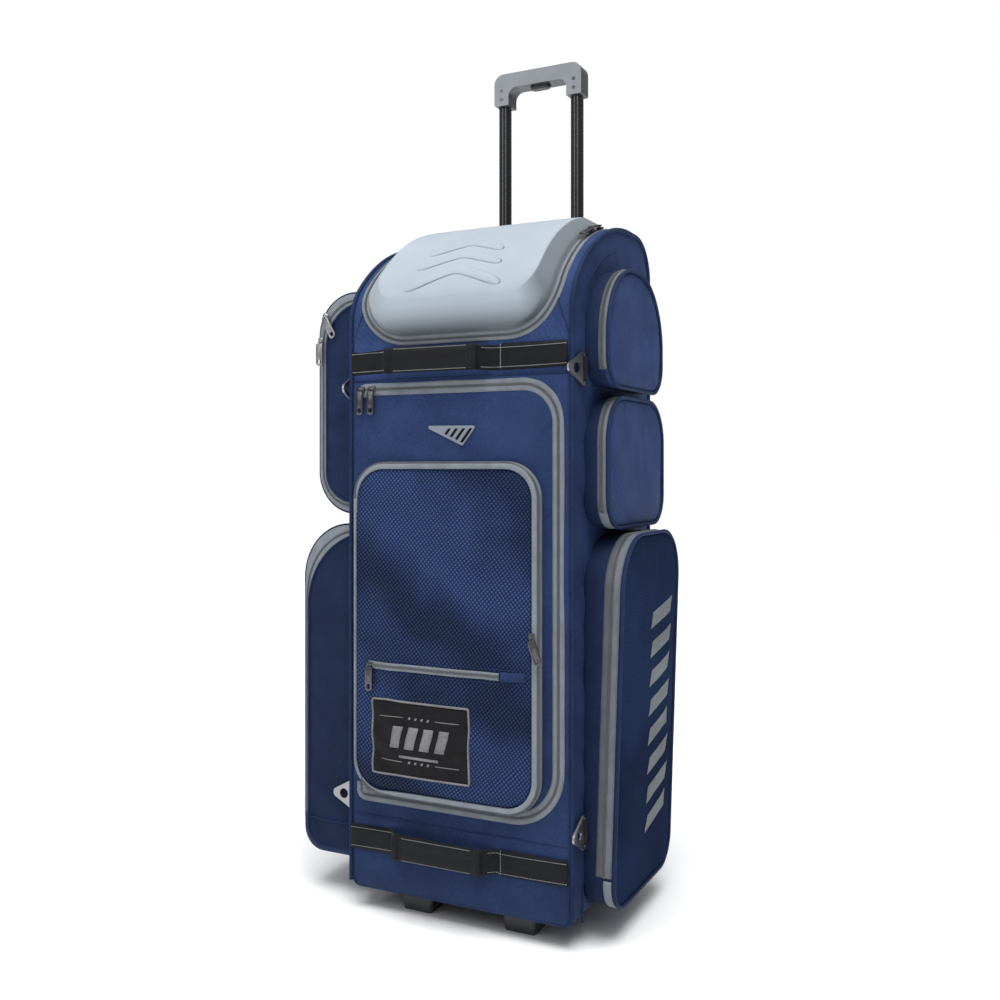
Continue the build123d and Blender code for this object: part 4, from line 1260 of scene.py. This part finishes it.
def build_right_pocket(name, sizes):
    """A pocket on the right side: a gusset, a zip round it above the seam and a padded face."""
    near, far, low, high, high_depth, low_depth, high_radius, low_radius, seam = sizes
    radii = (low_radius, low_radius, high_radius, high_radius)
    counts = dict(along=36, up=60, turn=20)
    flap = name + "_flap"
    zip_at, bag_tape, flap_tape = RIGHT_ZIPS[name]

    def face_x(z):
        return SIDE + low_depth + (high_depth - low_depth) * (z - low) / (high - low)

    def ring(inset, behind=None):
        """The outline drawn in by inset, at a distance behind the face, or on the bag for None."""
        points, outward = soft_loop(near, far, low, high, radii, inset, **counts)
        x = np.full(len(points), SIDE + 0.6) if behind is None else face_x(points[:, 1]) - behind
        return at(x, points[:, 0], points[:, 1]), outward

    hinge_at = (face_x(seam), seam)
    root, outward = ring(2.5)
    zip_ring = ring(0.8, zip_at)[0]
    rows = []
    for t in np.linspace(0, 1, 7):
        rows.append(root * (1 - t) + zip_ring * t)
        rows[-1][:, 1:] += 1.6 * sin(pi * t) * outward
    wall = make(name + "_wall", around(rows), "navy_dark", thick=POCKET_THICK)
    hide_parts(name + "_gusset")
    skirt = ring(-1.0)[0] + (0.6, 0, 0)
    skirt_out = at(0, *outward.T)
    piping(name + "_root_piping", skirt, skirt_out, 1.6, closed=True)

    rows = [ring(0.8 + 0.3 * t, zip_at * (1 - t) + 0.4 * t)[0] for t in np.linspace(0, 1, 5)]
    rim = make(name + "_rim", around(rows), "navy_soft", None, thick=POCKET_THICK)
    BLENDS.append((rim, flap, hinge_at))

    loop, normals = soft_loop(near, far, low, high, radii, 0.6, along=60, up=90, turn=40)
    both = resample(np.hstack([loop, normals]), 4, closed=True)

    def line_on_wall(part):
        out = at(0, part[:, 2], part[:, 3])
        return at(face_x(part[:, 1]) - zip_at, part[:, 0], part[:, 1]), out

    path, out = line_on_wall(stretch(both, (far, seam + 2), (near, seam + 2)))
    # Painted shadow on the bag's tape and painted shade on the flap's, both darker copies of the zip tape.
    looks = ("tape_painted_shadow", "tape_side_painted_shade")
    zip_chain(name + "_zip", path, out, "bag", flap, bag_tape, flap_tape, 0.4, looks)
    if name != "right_top":
        path, out = line_on_wall(stretch(both, (near, seam), (far, seam)))
        wide = bag_tape if name == "right_middle" else 0.5
        strip = sweep(path, out, flat_section(-flap_tape, wide, TAPE_THICK, 0.4, 0.3))
        make(name + "_foot_tape", strip, "tape", "bag")

    line, _ = ring(0.4, -0.6)
    edging = sweep(resample(line, 4, closed=True), (1, 0, 0), round_section(2.5), closed=True)
    face_piping = make(name + "_piping", edging, "piping", None)
    BLENDS.append((face_piping, flap, hinge_at))

    up = max(int((high - low) / 8), 24)
    inner, _ = soft_loop(near, far, low, high, radii, 2.6, along=24, up=up, turn=10)
    grid = fill(inner, 24 + 10, up + 10)
    points = at(face_x(grid[..., 1]) - 1.0 + dome(grid, 4.5), grid[..., 0], grid[..., 1])
    look = "dobby_fine" if name == "right_lower" else "navy_soft"
    face = make(name + "_face", points, look, None, (1, 0, 0), thick=POCKET_THICK, levels=1)
    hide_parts(flap)
    slack(sew(face, pressure=2.0, excess=0.012, cap=4), 1.6, 110, shift=len(BLENDS))
    BLENDS.append((face, flap, hinge_at))


def join_blends():
    for piece, flap, (x, z) in BLENDS:
        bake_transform(piece)


def build_pocket_print():
    """Plain slanted bars on the lower right pocket, in place of what is printed there."""
    tree = tree_of(bpy.data.objects["right_lower_face"])
    bars = Surface()
    for k in range(8):
        u, v = np.meshgrid(np.linspace(-0.5, 0.5, 20), np.linspace(-0.5, 0.5, 8))
        grid = at(260.0, 176 + u * 84 + v * 9, 425 - 40 * k + v * 22 + u * 15)
        bars.grid(drop(tree, grid, (-1, 0, 0), 0.5))
    flap = "right_lower_flap"
    make("right_lower_bars", bars, "print", flap, (1, 0, 0), thick=PRINT_THICK, inward=False)


# ---- Left pockets ----

# How far each front wall is drawn in from the pocket's edge, and the radius of its top corner
LEFT_WALLS = {"left_upper": (16.5, 62.0), "left_lower": (11.0, 110.0)}
LEFT_ZIP = 14.0
LEFT_ROUND = 7.0
LEFT_STEPS = 130
LEFT_BLENDS = []


def left_path(sizes, inset, high_radius=None):
    """A left pocket's outline from the bag at its top, round its outer side, to the bag at its foot."""
    _, _, low, high, depth, radius, low_radius = sizes
    radii = (low_radius, 0.6, 0.6, (high_radius or radius - inset) + inset)
    loop, outward = soft_loop(-SIDE - depth, -SIDE + inset, low, high, radii, inset, along=40, up=90, turn=30)
    path = stretch(np.hstack([loop, outward]), (-SIDE, high - inset), (-SIDE, low + inset))
    lengths = np.concatenate([[0], np.cumsum(np.linalg.norm(np.diff(path[:, :2], axis=0), axis=1))])
    places = np.linspace(0, lengths[-1], LEFT_STEPS)
    return np.stack([np.interp(places, lengths, path[:, k]) for k in range(4)], 1)


def upright(path, y):
    """A left pocket's path at a depth."""
    return at(path[:, 0], y, path[:, 1])


def below_seam(path, seam):
    """The index at which a left pocket's path passes its seam on the outer side."""
    if seam is None:
        return len(path) - 1
    outer = path[:, 0] < -SIDE - 60
    return int(np.argmin(np.abs(path[:, 1] - seam) + 1e4 * ~outer))


def build_left_rim(name, sizes, seam, end, y, facing):
    """The gray zip band between a pocket's front or back wall and the rounded edge of its shell."""
    flap = name + "_flap"
    inset, radius = LEFT_WALLS[name] if end == "front" else (LEFT_ZIP - 2, None)
    wall, edge = left_path(sizes, inset, radius), left_path(sizes, 0.2)
    rows = []
    for t in np.linspace(0, 1, 9):
        flat = wall * (1 - t) + edge * t
        rows.append(upright(flat, y - facing * (LEFT_ROUND * (1 - sqrt(max(1 - t * t, 0))) - 0.5)))
    rows = np.array(rows)
    last = below_seam(edge, seam)
    outwards = (-0.5, facing, 0)
    make(f"{name}_{end}_band", rows[:, : last + 1], "tape_light", flap, outwards, thick=BAND_THICK)
    if seam:
        make(f"{name}_{end}_boot_edge", rows[:, last:], "navy", facing=outwards, thick=BAND_THICK)
    line = rows[3, : last + 1]
    teeth = coil(resample(line, 1.7), (-0.25, facing, 0.1), 0.8, 0.2, (1.25, 2.4, 1.3))
    make(f"{name}_{end}_teeth", teeth, "coil", flap, weld=0.0)
    body = "bag" if end == "front" or seam else flap
    line = upright(wall, y + facing * 0.6)
    piping(f"{name}_{end}_wall_piping", line, (0, facing, 0), 1.7, "piping", body)


def build_left_pocket(name, sizes, seam=None):
    """A deep pocket on the left side. Without a seam its shell and back wall open with its flap; with one,
    only the trim above the seam does.
    """
    near, far, low, high, depth, _, low_radius = sizes
    flap = name + "_flap"
    rows = [upright(left_path(sizes, 0.2), near + LEFT_ROUND - 0.5)]
    for t in np.linspace(0.06, 0.94, 15):
        path = left_path(sizes, 0.0)
        reach = np.linspace(0, 1, len(path))[:, None]
        swell = 5.0 * (1 - (2 * t - 1) ** 4) * smooth(np.minimum(reach, 1 - reach) * 10)
        path[:, :2] += swell * path[:, 2:]
        rows.append(upright(path, near + LEFT_ROUND + t * (far - near - 2 * LEFT_ROUND)))
    rows.append(upright(left_path(sizes, 0.2), far - LEFT_ROUND + 0.5))
    body = None if seam else flap
    shell = make(name + "_shell", np.array(rows), "navy", body, levels=1, thick=PANEL_THICK)
    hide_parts(flap)
    slack(shell, 2.2, 120, shift=depth)
    if seam:
        LEFT_BLENDS.append((shell, flap))
    edge = left_path(sizes, -0.6)
    last = below_seam(edge, seam)
    line = upright(edge, near + LEFT_ROUND + 0.5)[: last + 1]
    piping(name + "_edge_piping", line, (0, -1, 0), 1.5, "piping", flap)

    for end, y, facing in (("front", near, -1), ("back", far, 1)):
        inset, radius = LEFT_WALLS[name] if end == "front" else (LEFT_ZIP - 2, sizes[5] - LEFT_ZIP + 2)
        radii = (low_radius, 0.6, 0.6, radius + inset)
        inner, _ = soft_loop(-SIDE - depth, -SIDE + inset, low, high, radii, inset, along=16, up=60, turn=12)
        grid = fill(inner, 16 + 12, 60 + 12)
        points = at(grid[..., 0], y + facing * (dome(grid, 2.5) + 0.3), grid[..., 1])
        body = "bag" if end == "front" or seam else flap
        look = "navy_dark" if end == "front" else "navy"
        wall_name = f"{name}_{end}_wall"
        wall = make(wall_name, points, look, body, (0, facing, 0), thick=POCKET_THICK, levels=1)
        slack(sew(wall, pressure=1.0, excess=0.008, cap=3), 1.5, 90, shift=facing * depth)
        if end == "front":
            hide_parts(name + "_gusset")
        build_left_rim(name, sizes, seam, end, y, facing)
    for y in (near - 1, far + 1):
        foot = at(-SIDE - 1.0, y, np.linspace(low + 2, high - 2, 40))
        piping(f"{name}_root_piping_{int(y)}", foot, (-1, 0, 0), 1.8)


def build_boot_seam():
    """The seam round the left lower pocket, where its opening part meets its boot."""
    near, far, _, _, depth, _, _ = LEFT_LOWER
    front = tree_of(bpy.data.objects["left_lower_front_wall"])
    x = np.linspace(-SIDE - depth + LEFT_WALLS["left_lower"][0] + 2, -SIDE - 2, 40)
    starts = at(x, near - 20.0, LEFT_SEAM)
    line = drop(front, starts, (0, 1, 0), 0.2)
    piping("left_boot_seam", line, (0, -1, 0), 1.3)
    side = tree_of(bpy.data.objects["left_lower_shell"])
    y = np.linspace(near + 11, far - 11, 60)
    starts = at(-SIDE - depth - 30.0, y, LEFT_SEAM - 9.0)
    line = drop(side, starts, (1, 0, 0), 0.2)
    piping("left_boot_side_seam", line, (-1, 0, 0), 1.3)


# ---- Straps and rings ----

STRAPS = {
    "top": (775, -97, 37, (67,)),
    "bottom": (105, -84, 43, (-95, 67)),
}
RINGS = {
    "ring_upper_right": (1, 756),
    "ring_lower_right": (1, 154),
    "ring_upper_left": (-1, 740),
    "ring_lower_left": (-1, 154),
}


def build_strap(name, height, left, right, folds):
    """A webbing strap sewn to the front at both ends, which rises to a padded grip."""
    out = (0, -1, 0)
    x = np.linspace(-168, 166, 120)
    rise = smooth((x - (left - 22)) / 24) * smooth(((right + 22) - x) / 24)
    sway = 1.5 * np.sin((x + 168) / 334 * pi * 2)
    line = at(x, -1.6 - 15.5 * rise, height + sway)
    band = sweep(line, out, flat_section(-17, 17, 1.8, -0.9, 0.1))
    strap = make(name + "_strap", band, "webbing", "bag", levels=1)
    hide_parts(name + "_grab_strap")
    rows = []
    for side in (-12.8, 12.8):
        for start, end in ((-166, left - 8), (right + 8, 164)):
            part = line[(x > start) & (x < end)].copy()
            for fold in folds:
                over = part[:, 0] > fold if fold > 0 else part[:, 0] < fold
                part[over, 1] = -4.0
            rows.append((part, out, side, 1.0))
    for fold in folds:
        u = np.linspace(-15, 15, 12)
        across = at(fold + (3.0 if fold > 0 else -3.0), -5.0, height + u)
        rows.append((across, out, 0, 0.1))
        start, end = (fold, 165) if fold > 0 else (-167, fold)
        part = np.linspace(start, end, 30)
        doubled = at(part, -3.2, height)
        flap = sweep(doubled, out, flat_section(-16.6, 16.6, 1.7, -0.2, 0.1))
        end = "right" if fold > 0 else "left"
        make(f"{name}_strap_fold_{end}", flap, "webbing", "bag")
    stitches(name + "_strap_stitching", rows, "thread", "bag")

    count = 46
    t = np.linspace(0, 1, count)
    middle = at(left + (right - left) * t, -18.0, height)
    angles = np.linspace(0, tau, 20, endpoint=False)
    sections = []
    for place in t:
        end = min(place, 1 - place) * (right - left)
        grow = 0.82 + 0.18 * smooth((end - 8) / 10)
        shape = squarish(angles, 0.8, 0.75) * (17.6, 6.2)
        shape[:, 1] -= 1.8 * np.exp(-((shape[:, 0] / 3.0) ** 2)) * (shape[:, 1] > 0)
        sections.append(shape * (0.97 + 0.03 * grow, grow))
    roll = sweep(middle, out, np.array(sections))
    pad = make(name + "_grip_pad", roll, "pad", "bag", levels=1)
    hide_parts("strap_grips")
    for end, place in (("left", left), ("right", right)):
        u = np.linspace(-5.5, 5.5, 5)
        cuff = at(place + u, -18.0, height)
        shape = squarish(angles, 0.5, 0.6) * (18.0, 5.9)
        cuff = sweep(cuff, out, shape)
        make(f"{name}_grip_cuff_{end}", cuff, "webbing", "bag", levels=1)
    rows = []
    along = np.linspace(left + 12, right - 12, 40)
    for side in (-15, 15):
        rows.append((at(along, -23.0, height), out, side, -1.2))
    stitches(name + "_grip_stitching", rows, "thread", "bag")


def build_ring_tab(name, side, height):
    """The webbing that holds a ring: it is sewn to the side, goes round the ring's bar and comes back."""
    bar_x, bar_y = SIDE + 8, 22
    loop = [(SIDE + 1.2, 62), (SIDE + 1.6, 40), (SIDE + 5, 30)]
    turns = np.radians((140, 180, 225, 270, 315, 0, 40))
    loop += [(bar_x + 3.6 * cos(a), bar_y + 3.6 * sin(a)) for a in turns]
    loop += [(SIDE + 8, 32), (SIDE + 3.6, 42), (SIDE + 3.2, 62)]
    loop = resample(np.array(loop), 2)
    path = at(side * loop[:, 0], loop[:, 1], height)
    along = unit(np.gradient(path, axis=0))
    out = np.cross(along, (0, 0, side))
    strip = sweep(path, out, flat_section(-17, 17, 1.4, -0.7))
    tab = make(name + "_tab", strip, "webbing_up", "bag", levels=1)
    x = side * (SIDE + 4.6)
    lines = [[(x, y, height + z) for y in np.linspace(42, 60, 8)] for z in (-13, 13)]
    lines += [[(x, y, height + z) for z in np.linspace(-13, 13, 8)] for y in (44, 58)]
    rows = [(np.array(line), (side, 0, 0), 0, 0.1) for line in lines]
    stitches(name + "_tab_stitching", rows, "thread", "bag")
    return tab


# ---- Sliders ----


def plate(outline, hole, thickness, place, right, up, out, surface):
    """A flat plate with a hole of the same number of points, standing at place in its own directions."""
    def level(loop, height):
        return place + loop[:, :1] * right + loop[:, 1:] * up + height * out

    edge = 0.25
    middle = (outline + hole) / 2
    inset = outline * 0.96 + middle * 0.04
    inner = hole * 0.92 + middle * 0.08
    shoulder = thickness - edge
    levels = ((hole, 0), (outline, 0), (outline, shoulder))
    levels += ((inset, thickness), (inner, thickness), (hole, shoulder))
    rings = [level(loop, height) for loop, height in levels]
    surface.grid(np.array(rings), round_rows=True, round_columns=True)


def build_slider(name, place, right, up, along, swing, look="gunmetal"):
    """A zip slider with its bridge and link, and a plain pull with a slot."""
    place = np.asarray(place, float)
    right, up = unit(right), unit(up)
    out = np.cross(right, up)
    a = radians(along)
    run = cos(a) * right + sin(a) * up
    across = np.cross(out, run)
    body = Surface()
    steps = np.linspace(-6, 6, 13)
    path = place + steps[:, None] * run + 1.7 * out
    angles = np.linspace(0, tau, 16, endpoint=False)
    shape = squarish(angles, 0.55, 0.55)
    width = 3.1 + 1.4 * smooth((steps + 6) / 9) - 0.8 * smooth((steps - 4.5) / 1.5)
    height = 1.55 - 0.5 * smooth((np.abs(steps) - 4.5) / 1.5)
    sweep(path, out, shape[None] * np.stack([width, height], 1)[:, None], surface=body)
    arch = np.radians(np.linspace(0, 180, 12))
    bridge = place + (3.6 * np.cos(arch))[:, None] * run + (2.6 + 2.0 * np.sin(arch))[:, None] * out
    sweep(bridge, across, round_section(0.75, 8), surface=body)
    slider = make(name + "_body", body, look, name)
    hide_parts(name)

    b = radians(swing)
    hang_right = cos(b) * right + sin(b) * up
    hang_up = -sin(b) * right + cos(b) * up
    link = Surface()
    turns = np.linspace(0, tau, 20, endpoint=False)
    ring = place + (2.4 * np.cos(turns))[:, None] * hang_right + 4.9 * out
    ring = ring + (-2.5 + 3.6 * np.sin(turns))[:, None] * hang_up
    sweep(ring, out, round_section(0.6, 8), closed=True, surface=link)
    counts = dict(along=6, up=16, turn=6)
    outline, _ = soft_loop(-5.6, 5.6, -36, -3, (4.4, 4.4, 3.0, 3.0), **counts)
    hole, _ = soft_loop(-2.6, 2.6, -33.0, -26.5, (2.0,) * 4, **counts)
    plate(outline, hole, 2.0, place + 4.6 * out, hang_right, hang_up, out, link)
    raised, _ = soft_loop(-3.7, 3.7, -24, -8, (1.4,) * 4, **counts)
    inner, _ = soft_loop(-2.7, 2.7, -23, -9, (0.9,) * 4, **counts)
    plate(raised, inner, 0.5, place + 6.5 * out, hang_right, hang_up, out, link)
    pull = make(name + "_pull", link, look, name, weld=0.0)
    crisp(pull, 0.2, 1)


def build_sliders():
    front = ((1, 0, 0), (0, 0, 1))
    back = ((-1, 0, 0), (0, 0, 1))
    build_slider("door_slider_left", (-152, -0.4, SLIDER_Z["door"]), *front, 0, 0)
    build_slider("door_slider_right", (-134, -0.4, SLIDER_Z["door"]), *front, 0, 0)
    build_slider("pouch_slider", (122, -18.4, SLIDER_Z["pouch"]), *front, 90, 18)
    build_slider("pouch_top_slider", (-125, -18.4, SMALL_ZIP_Z), *front, 0, 0)
    near, far, _, high, depth, radius, _ = LEFT_UPPER
    half = ZIP_BAND / 2
    place = (-SIDE - depth + half, near - 0.4, SLIDER_Z["left_upper"])
    build_slider("left_upper_slider_low", place, *front, 90, 0, "nickel")
    turn = radians(30)
    arm = radius - half
    corner = (-SIDE - depth + radius - arm * cos(turn), near - 0.4, high - radius + arm * sin(turn))
    build_slider("left_upper_slider_high", corner, *front, 60, 30, "nickel")
    place = (-SIDE - LEFT_LOWER[4] + half, LEFT_LOWER[1] + 0.4, SLIDER_Z["left_lower"])
    build_slider("left_lower_slider", place, *back, 90, 0)
    for name, sizes in RIGHT_POCKETS.items():
        _, far, low, high, high_depth, low_depth = sizes[:6]
        height = SLIDER_Z[name]
        depth = low_depth + (high_depth - low_depth) * (height - low) / (high - low)
        build_slider(name + "_slider", (SIDE + depth - half, far + 0.4, height), *back, 90, 0)
    for name, angle in LID_SLIDERS.items():
        a = radians(angle)
        reach = CROWN_RADIUS + 2.4
        place = (151, CROWN_Y - reach * sin(a), CROWN_Z + reach * cos(a))
        build_slider(name, place, (1, 0, 0), (0, cos(a), sin(a)), 90, 0)


# ---- Handle, wheels and base ----


def dress(node, look, width=0.8, segments=2):
    """Give a CAD node its finished material and soft edges."""
    piece = NODES[node]
    piece.data.materials.clear()
    piece.data.materials.append(LOOK[look])
    if width:
        crisp(piece, width, segments)


def lathe(centre, outline, steps=72, surface=None):
    """Turn an outline of (x offset, radius) points round an axis along x."""
    angles = np.linspace(0, tau, steps, endpoint=False)
    outline = np.asarray(outline, float)
    x, radius = outline[:, :1], outline[:, 1:]
    points = at(centre[0] + x, centre[1] + radius * np.cos(angles), centre[2] + radius * np.sin(angles))
    surface = surface or Surface()
    return surface.grid(points, round_columns=True)


def build_wheel(name, side):
    centre = (side * WHEEL_X, WHEEL_Y, WHEEL_RADIUS)
    tread = [(-13, 28.2), (-13, 33), (-11.5, 36), (-8.5, 37.6)]
    for groove in (-5.5, 0, 5.5):
        tread += [(groove - 1.2, 37.9), (groove - 0.8, 36.6), (groove + 0.8, 36.6), (groove + 1.2, 37.9)]
    tread += [(8.5, 37.6), (11.5, 36), (13, 33), (13, 28.2)]
    tyre = make(name + "_wheel_tread", lathe(centre, tread), "rubber", name + "_wheel")
    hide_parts(name + "_wheel_tyre")
    crisp(tyre, 0.4)
    hub = Surface()
    rim = [(-12.6, 23.5), (-13, 28), (13, 28), (12.6, 23.5), (2.2, 22.4), (-2.2, 22.4)]
    lathe(centre, rim + rim[:1], surface=hub)
    boss = [(-13.4, 4.2), (-13.4, 7.5), (-12.6, 8.6), (12.6, 8.6), (13.4, 7.5), (13.4, 4.2)]
    lathe(centre, boss + boss[:1], 40, hub)
    for k in range(6):
        angle = tau * k / 6
        direction = np.array((0, cos(angle), sin(angle)))
        reach = np.linspace(8, 23.4, 8)
        path = np.array(centre) + reach[:, None] * direction
        width = 3.0 + 1.2 * np.abs(np.linspace(-1, 1, 8)) ** 2
        corners = np.array([(-1, -1), (1, -1), (1, 1), (-1, 1)], float)
        section = corners[None] * np.stack([width, np.full(8, 9.5)], 1)[:, None]
        sweep(path, (1, 0, 0), section, surface=hub)
    piece = make(name + "_wheel_core", hub, "gray_plastic_dark", name + "_wheel")
    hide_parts(name + "_wheel_hub")
    crisp(piece, 0.6)


def build_hard_parts():
    for node, look, width in (
        ("handle_rods", "tube", 0),
        ("handle_sleeves", "gray_plastic_dark", 0),
        ("grip_front_shell", "gray_plastic", 3.2),
        ("grip_rear_shell", "gray_plastic_dark", 3.2),
        # The grip's screws take the dark gunmetal, partly as painted shade for the recesses they sit in.
        ("grip_screws", "gunmetal", 0.3),
        ("release_button", "black_plastic", 0.8),
        ("handle_bezel", "black_plastic", 1.5),
        ("handle_bracket", "black_plastic", 0.8),
        ("base_tray", "black_plastic", 1.2),
        ("base_screws", "steel", 0.4),
        ("wheel_housings", "black_plastic", 1.5),
        ("wheel_axles", "steel", 0.4),
        *((ring, "nickel", 0) for ring in RINGS),
    ):
        dress(node, look, width, 3 if width > 1.4 else 2)


def build_lining():
    """The gray lining over the handle's tubes, inside the back."""
    x = np.linspace(-SIDE + 3, SIDE - 3, 30)
    z = np.linspace(96, 935, 60)
    xx, zz = np.meshgrid(x, z)
    points = at(xx, 259 - 1.5 * dome(np.stack([xx, zz], -1), 1.0), zz)
    lining = make("back_lining_cloth", points, "lining", "bag", (0, -1, 0), thick=0.9)
    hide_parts("back_lining")


# ---- Stage ----


def build_world():
    """A dim soft studio with more light from above, against a white backdrop."""
    world = bpy.data.worlds.new("studio")
    SCENE.world = world
    world.use_nodes = True
    nodes, links = world.node_tree.nodes, world.node_tree.links
    nodes.clear()
    spot = nodes.new("ShaderNodeTexCoord")
    split = nodes.new("ShaderNodeSeparateXYZ")
    links.new(spot.outputs["Generated"], split.inputs[0])
    ramp = nodes.new("ShaderNodeValToRGB")
    ramp.color_ramp.elements[0].color = (0.12, 0.12, 0.125, 1)
    ramp.color_ramp.elements[0].position = 0.0
    ramp.color_ramp.elements[1].color = (0.6, 0.61, 0.63, 1)
    ramp.color_ramp.elements[1].position = 0.9
    links.new(split.outputs["Z"], ramp.inputs[0])
    soft, white = (nodes.new("ShaderNodeBackground") for _ in range(2))
    links.new(ramp.outputs[0], soft.inputs["Color"])
    white.inputs["Color"].default_value = (1, 1, 1, 1)
    ray = nodes.new("ShaderNodeLightPath")
    mixed = nodes.new("ShaderNodeMixShader")
    links.new(ray.outputs["Is Camera Ray"], mixed.inputs[0])
    links.new(soft.outputs[0], mixed.inputs[1])
    links.new(white.outputs[0], mixed.inputs[2])
    links.new(mixed.outputs[0], nodes.new("ShaderNodeOutputWorld").inputs[0])
    SCENE.view_settings.view_transform = "Standard"


def build_stage():
    floor_mesh = bpy.data.meshes.new("floor")
    floor_mesh.from_pydata([(-9, -9, 0), (9, -9, 0), (9, 9, 0), (-9, 9, 0)], [], [(0, 1, 2, 3)])
    floor = bpy.data.objects.new("floor", floor_mesh)
    SCENE.collection.objects.link(floor)
    ground = Look("floor", (0.93, 0.93, 0.93), 0.6)
    ground.colour(ground.ramp(ground.noise(900, 2), (0.3, 0.925), (0.7, 0.94)))
    floor_mesh.materials.append(ground.material)

    build_world()
    sun = bpy.data.lights.new("key", "SUN")
    sun.energy = 3.1
    sun.angle = radians(40)
    lamps = [(sun, (0.3, -0.62, 2.2), (0, 0, 0))]
    for name, place, power in (("front", (1.0, -1.7, 1.9), 6), ("left", (-1.1, -1.9, 1.7), 7)):
        lamp = bpy.data.lights.new(name, "AREA")
        lamp.shape = "RECTANGLE"
        lamp.size = 0.3
        lamp.size_y = 1.2
        lamp.energy = power
        lamps.append((lamp, place, (0, 0, 0.7)))
    for lamp, place, aim in lamps:
        holder = bpy.data.objects.new(lamp.name, lamp)
        holder.location = place
        holder.rotation_euler = (Vector(aim) - Vector(place)).to_track_quat("-Z", "Y").to_euler()
        SCENE.collection.objects.link(holder)

    camera = bpy.data.cameras.new("camera")
    camera.lens = 38.4
    camera.sensor_width = 36
    camera.shift_y = -0.031
    holder = bpy.data.objects.new("camera", camera)
    holder.location = CAMERA_PLACE
    holder.rotation_euler = Vector(CAMERA_AIM).to_track_quat("-Z", "Y").to_euler()
    SCENE.collection.objects.link(holder)
    SCENE.camera = holder


# ---- Everything ----

build_stage()
build_hard_parts()
build_body()
build_door()
build_pouch()
build_lid()
for pocket, pocket_sizes in RIGHT_POCKETS.items():
    build_right_pocket(pocket, pocket_sizes)
build_left_pocket("left_upper", LEFT_UPPER)
build_left_pocket("left_lower", LEFT_LOWER, LEFT_SEAM)
run_cloth()
press_door()
build_boot_seam()
join_blends()
for shell, flap_body in LEFT_BLENDS:
    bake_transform(shell)
build_body_trim()
build_pouch_trim()
build_pocket_print()
for strap, strap_sizes in STRAPS.items():
    build_strap(strap, *strap_sizes)
for ring_name, (ring_side, ring_height) in RINGS.items():
    tab_piece = build_ring_tab(ring_name, ring_side, ring_height)
    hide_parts("ring_tabs")
build_sliders()
for wheel_name, wheel_side in (("left", -1), ("right", 1)):
    build_wheel(wheel_name, wheel_side)
build_lining()
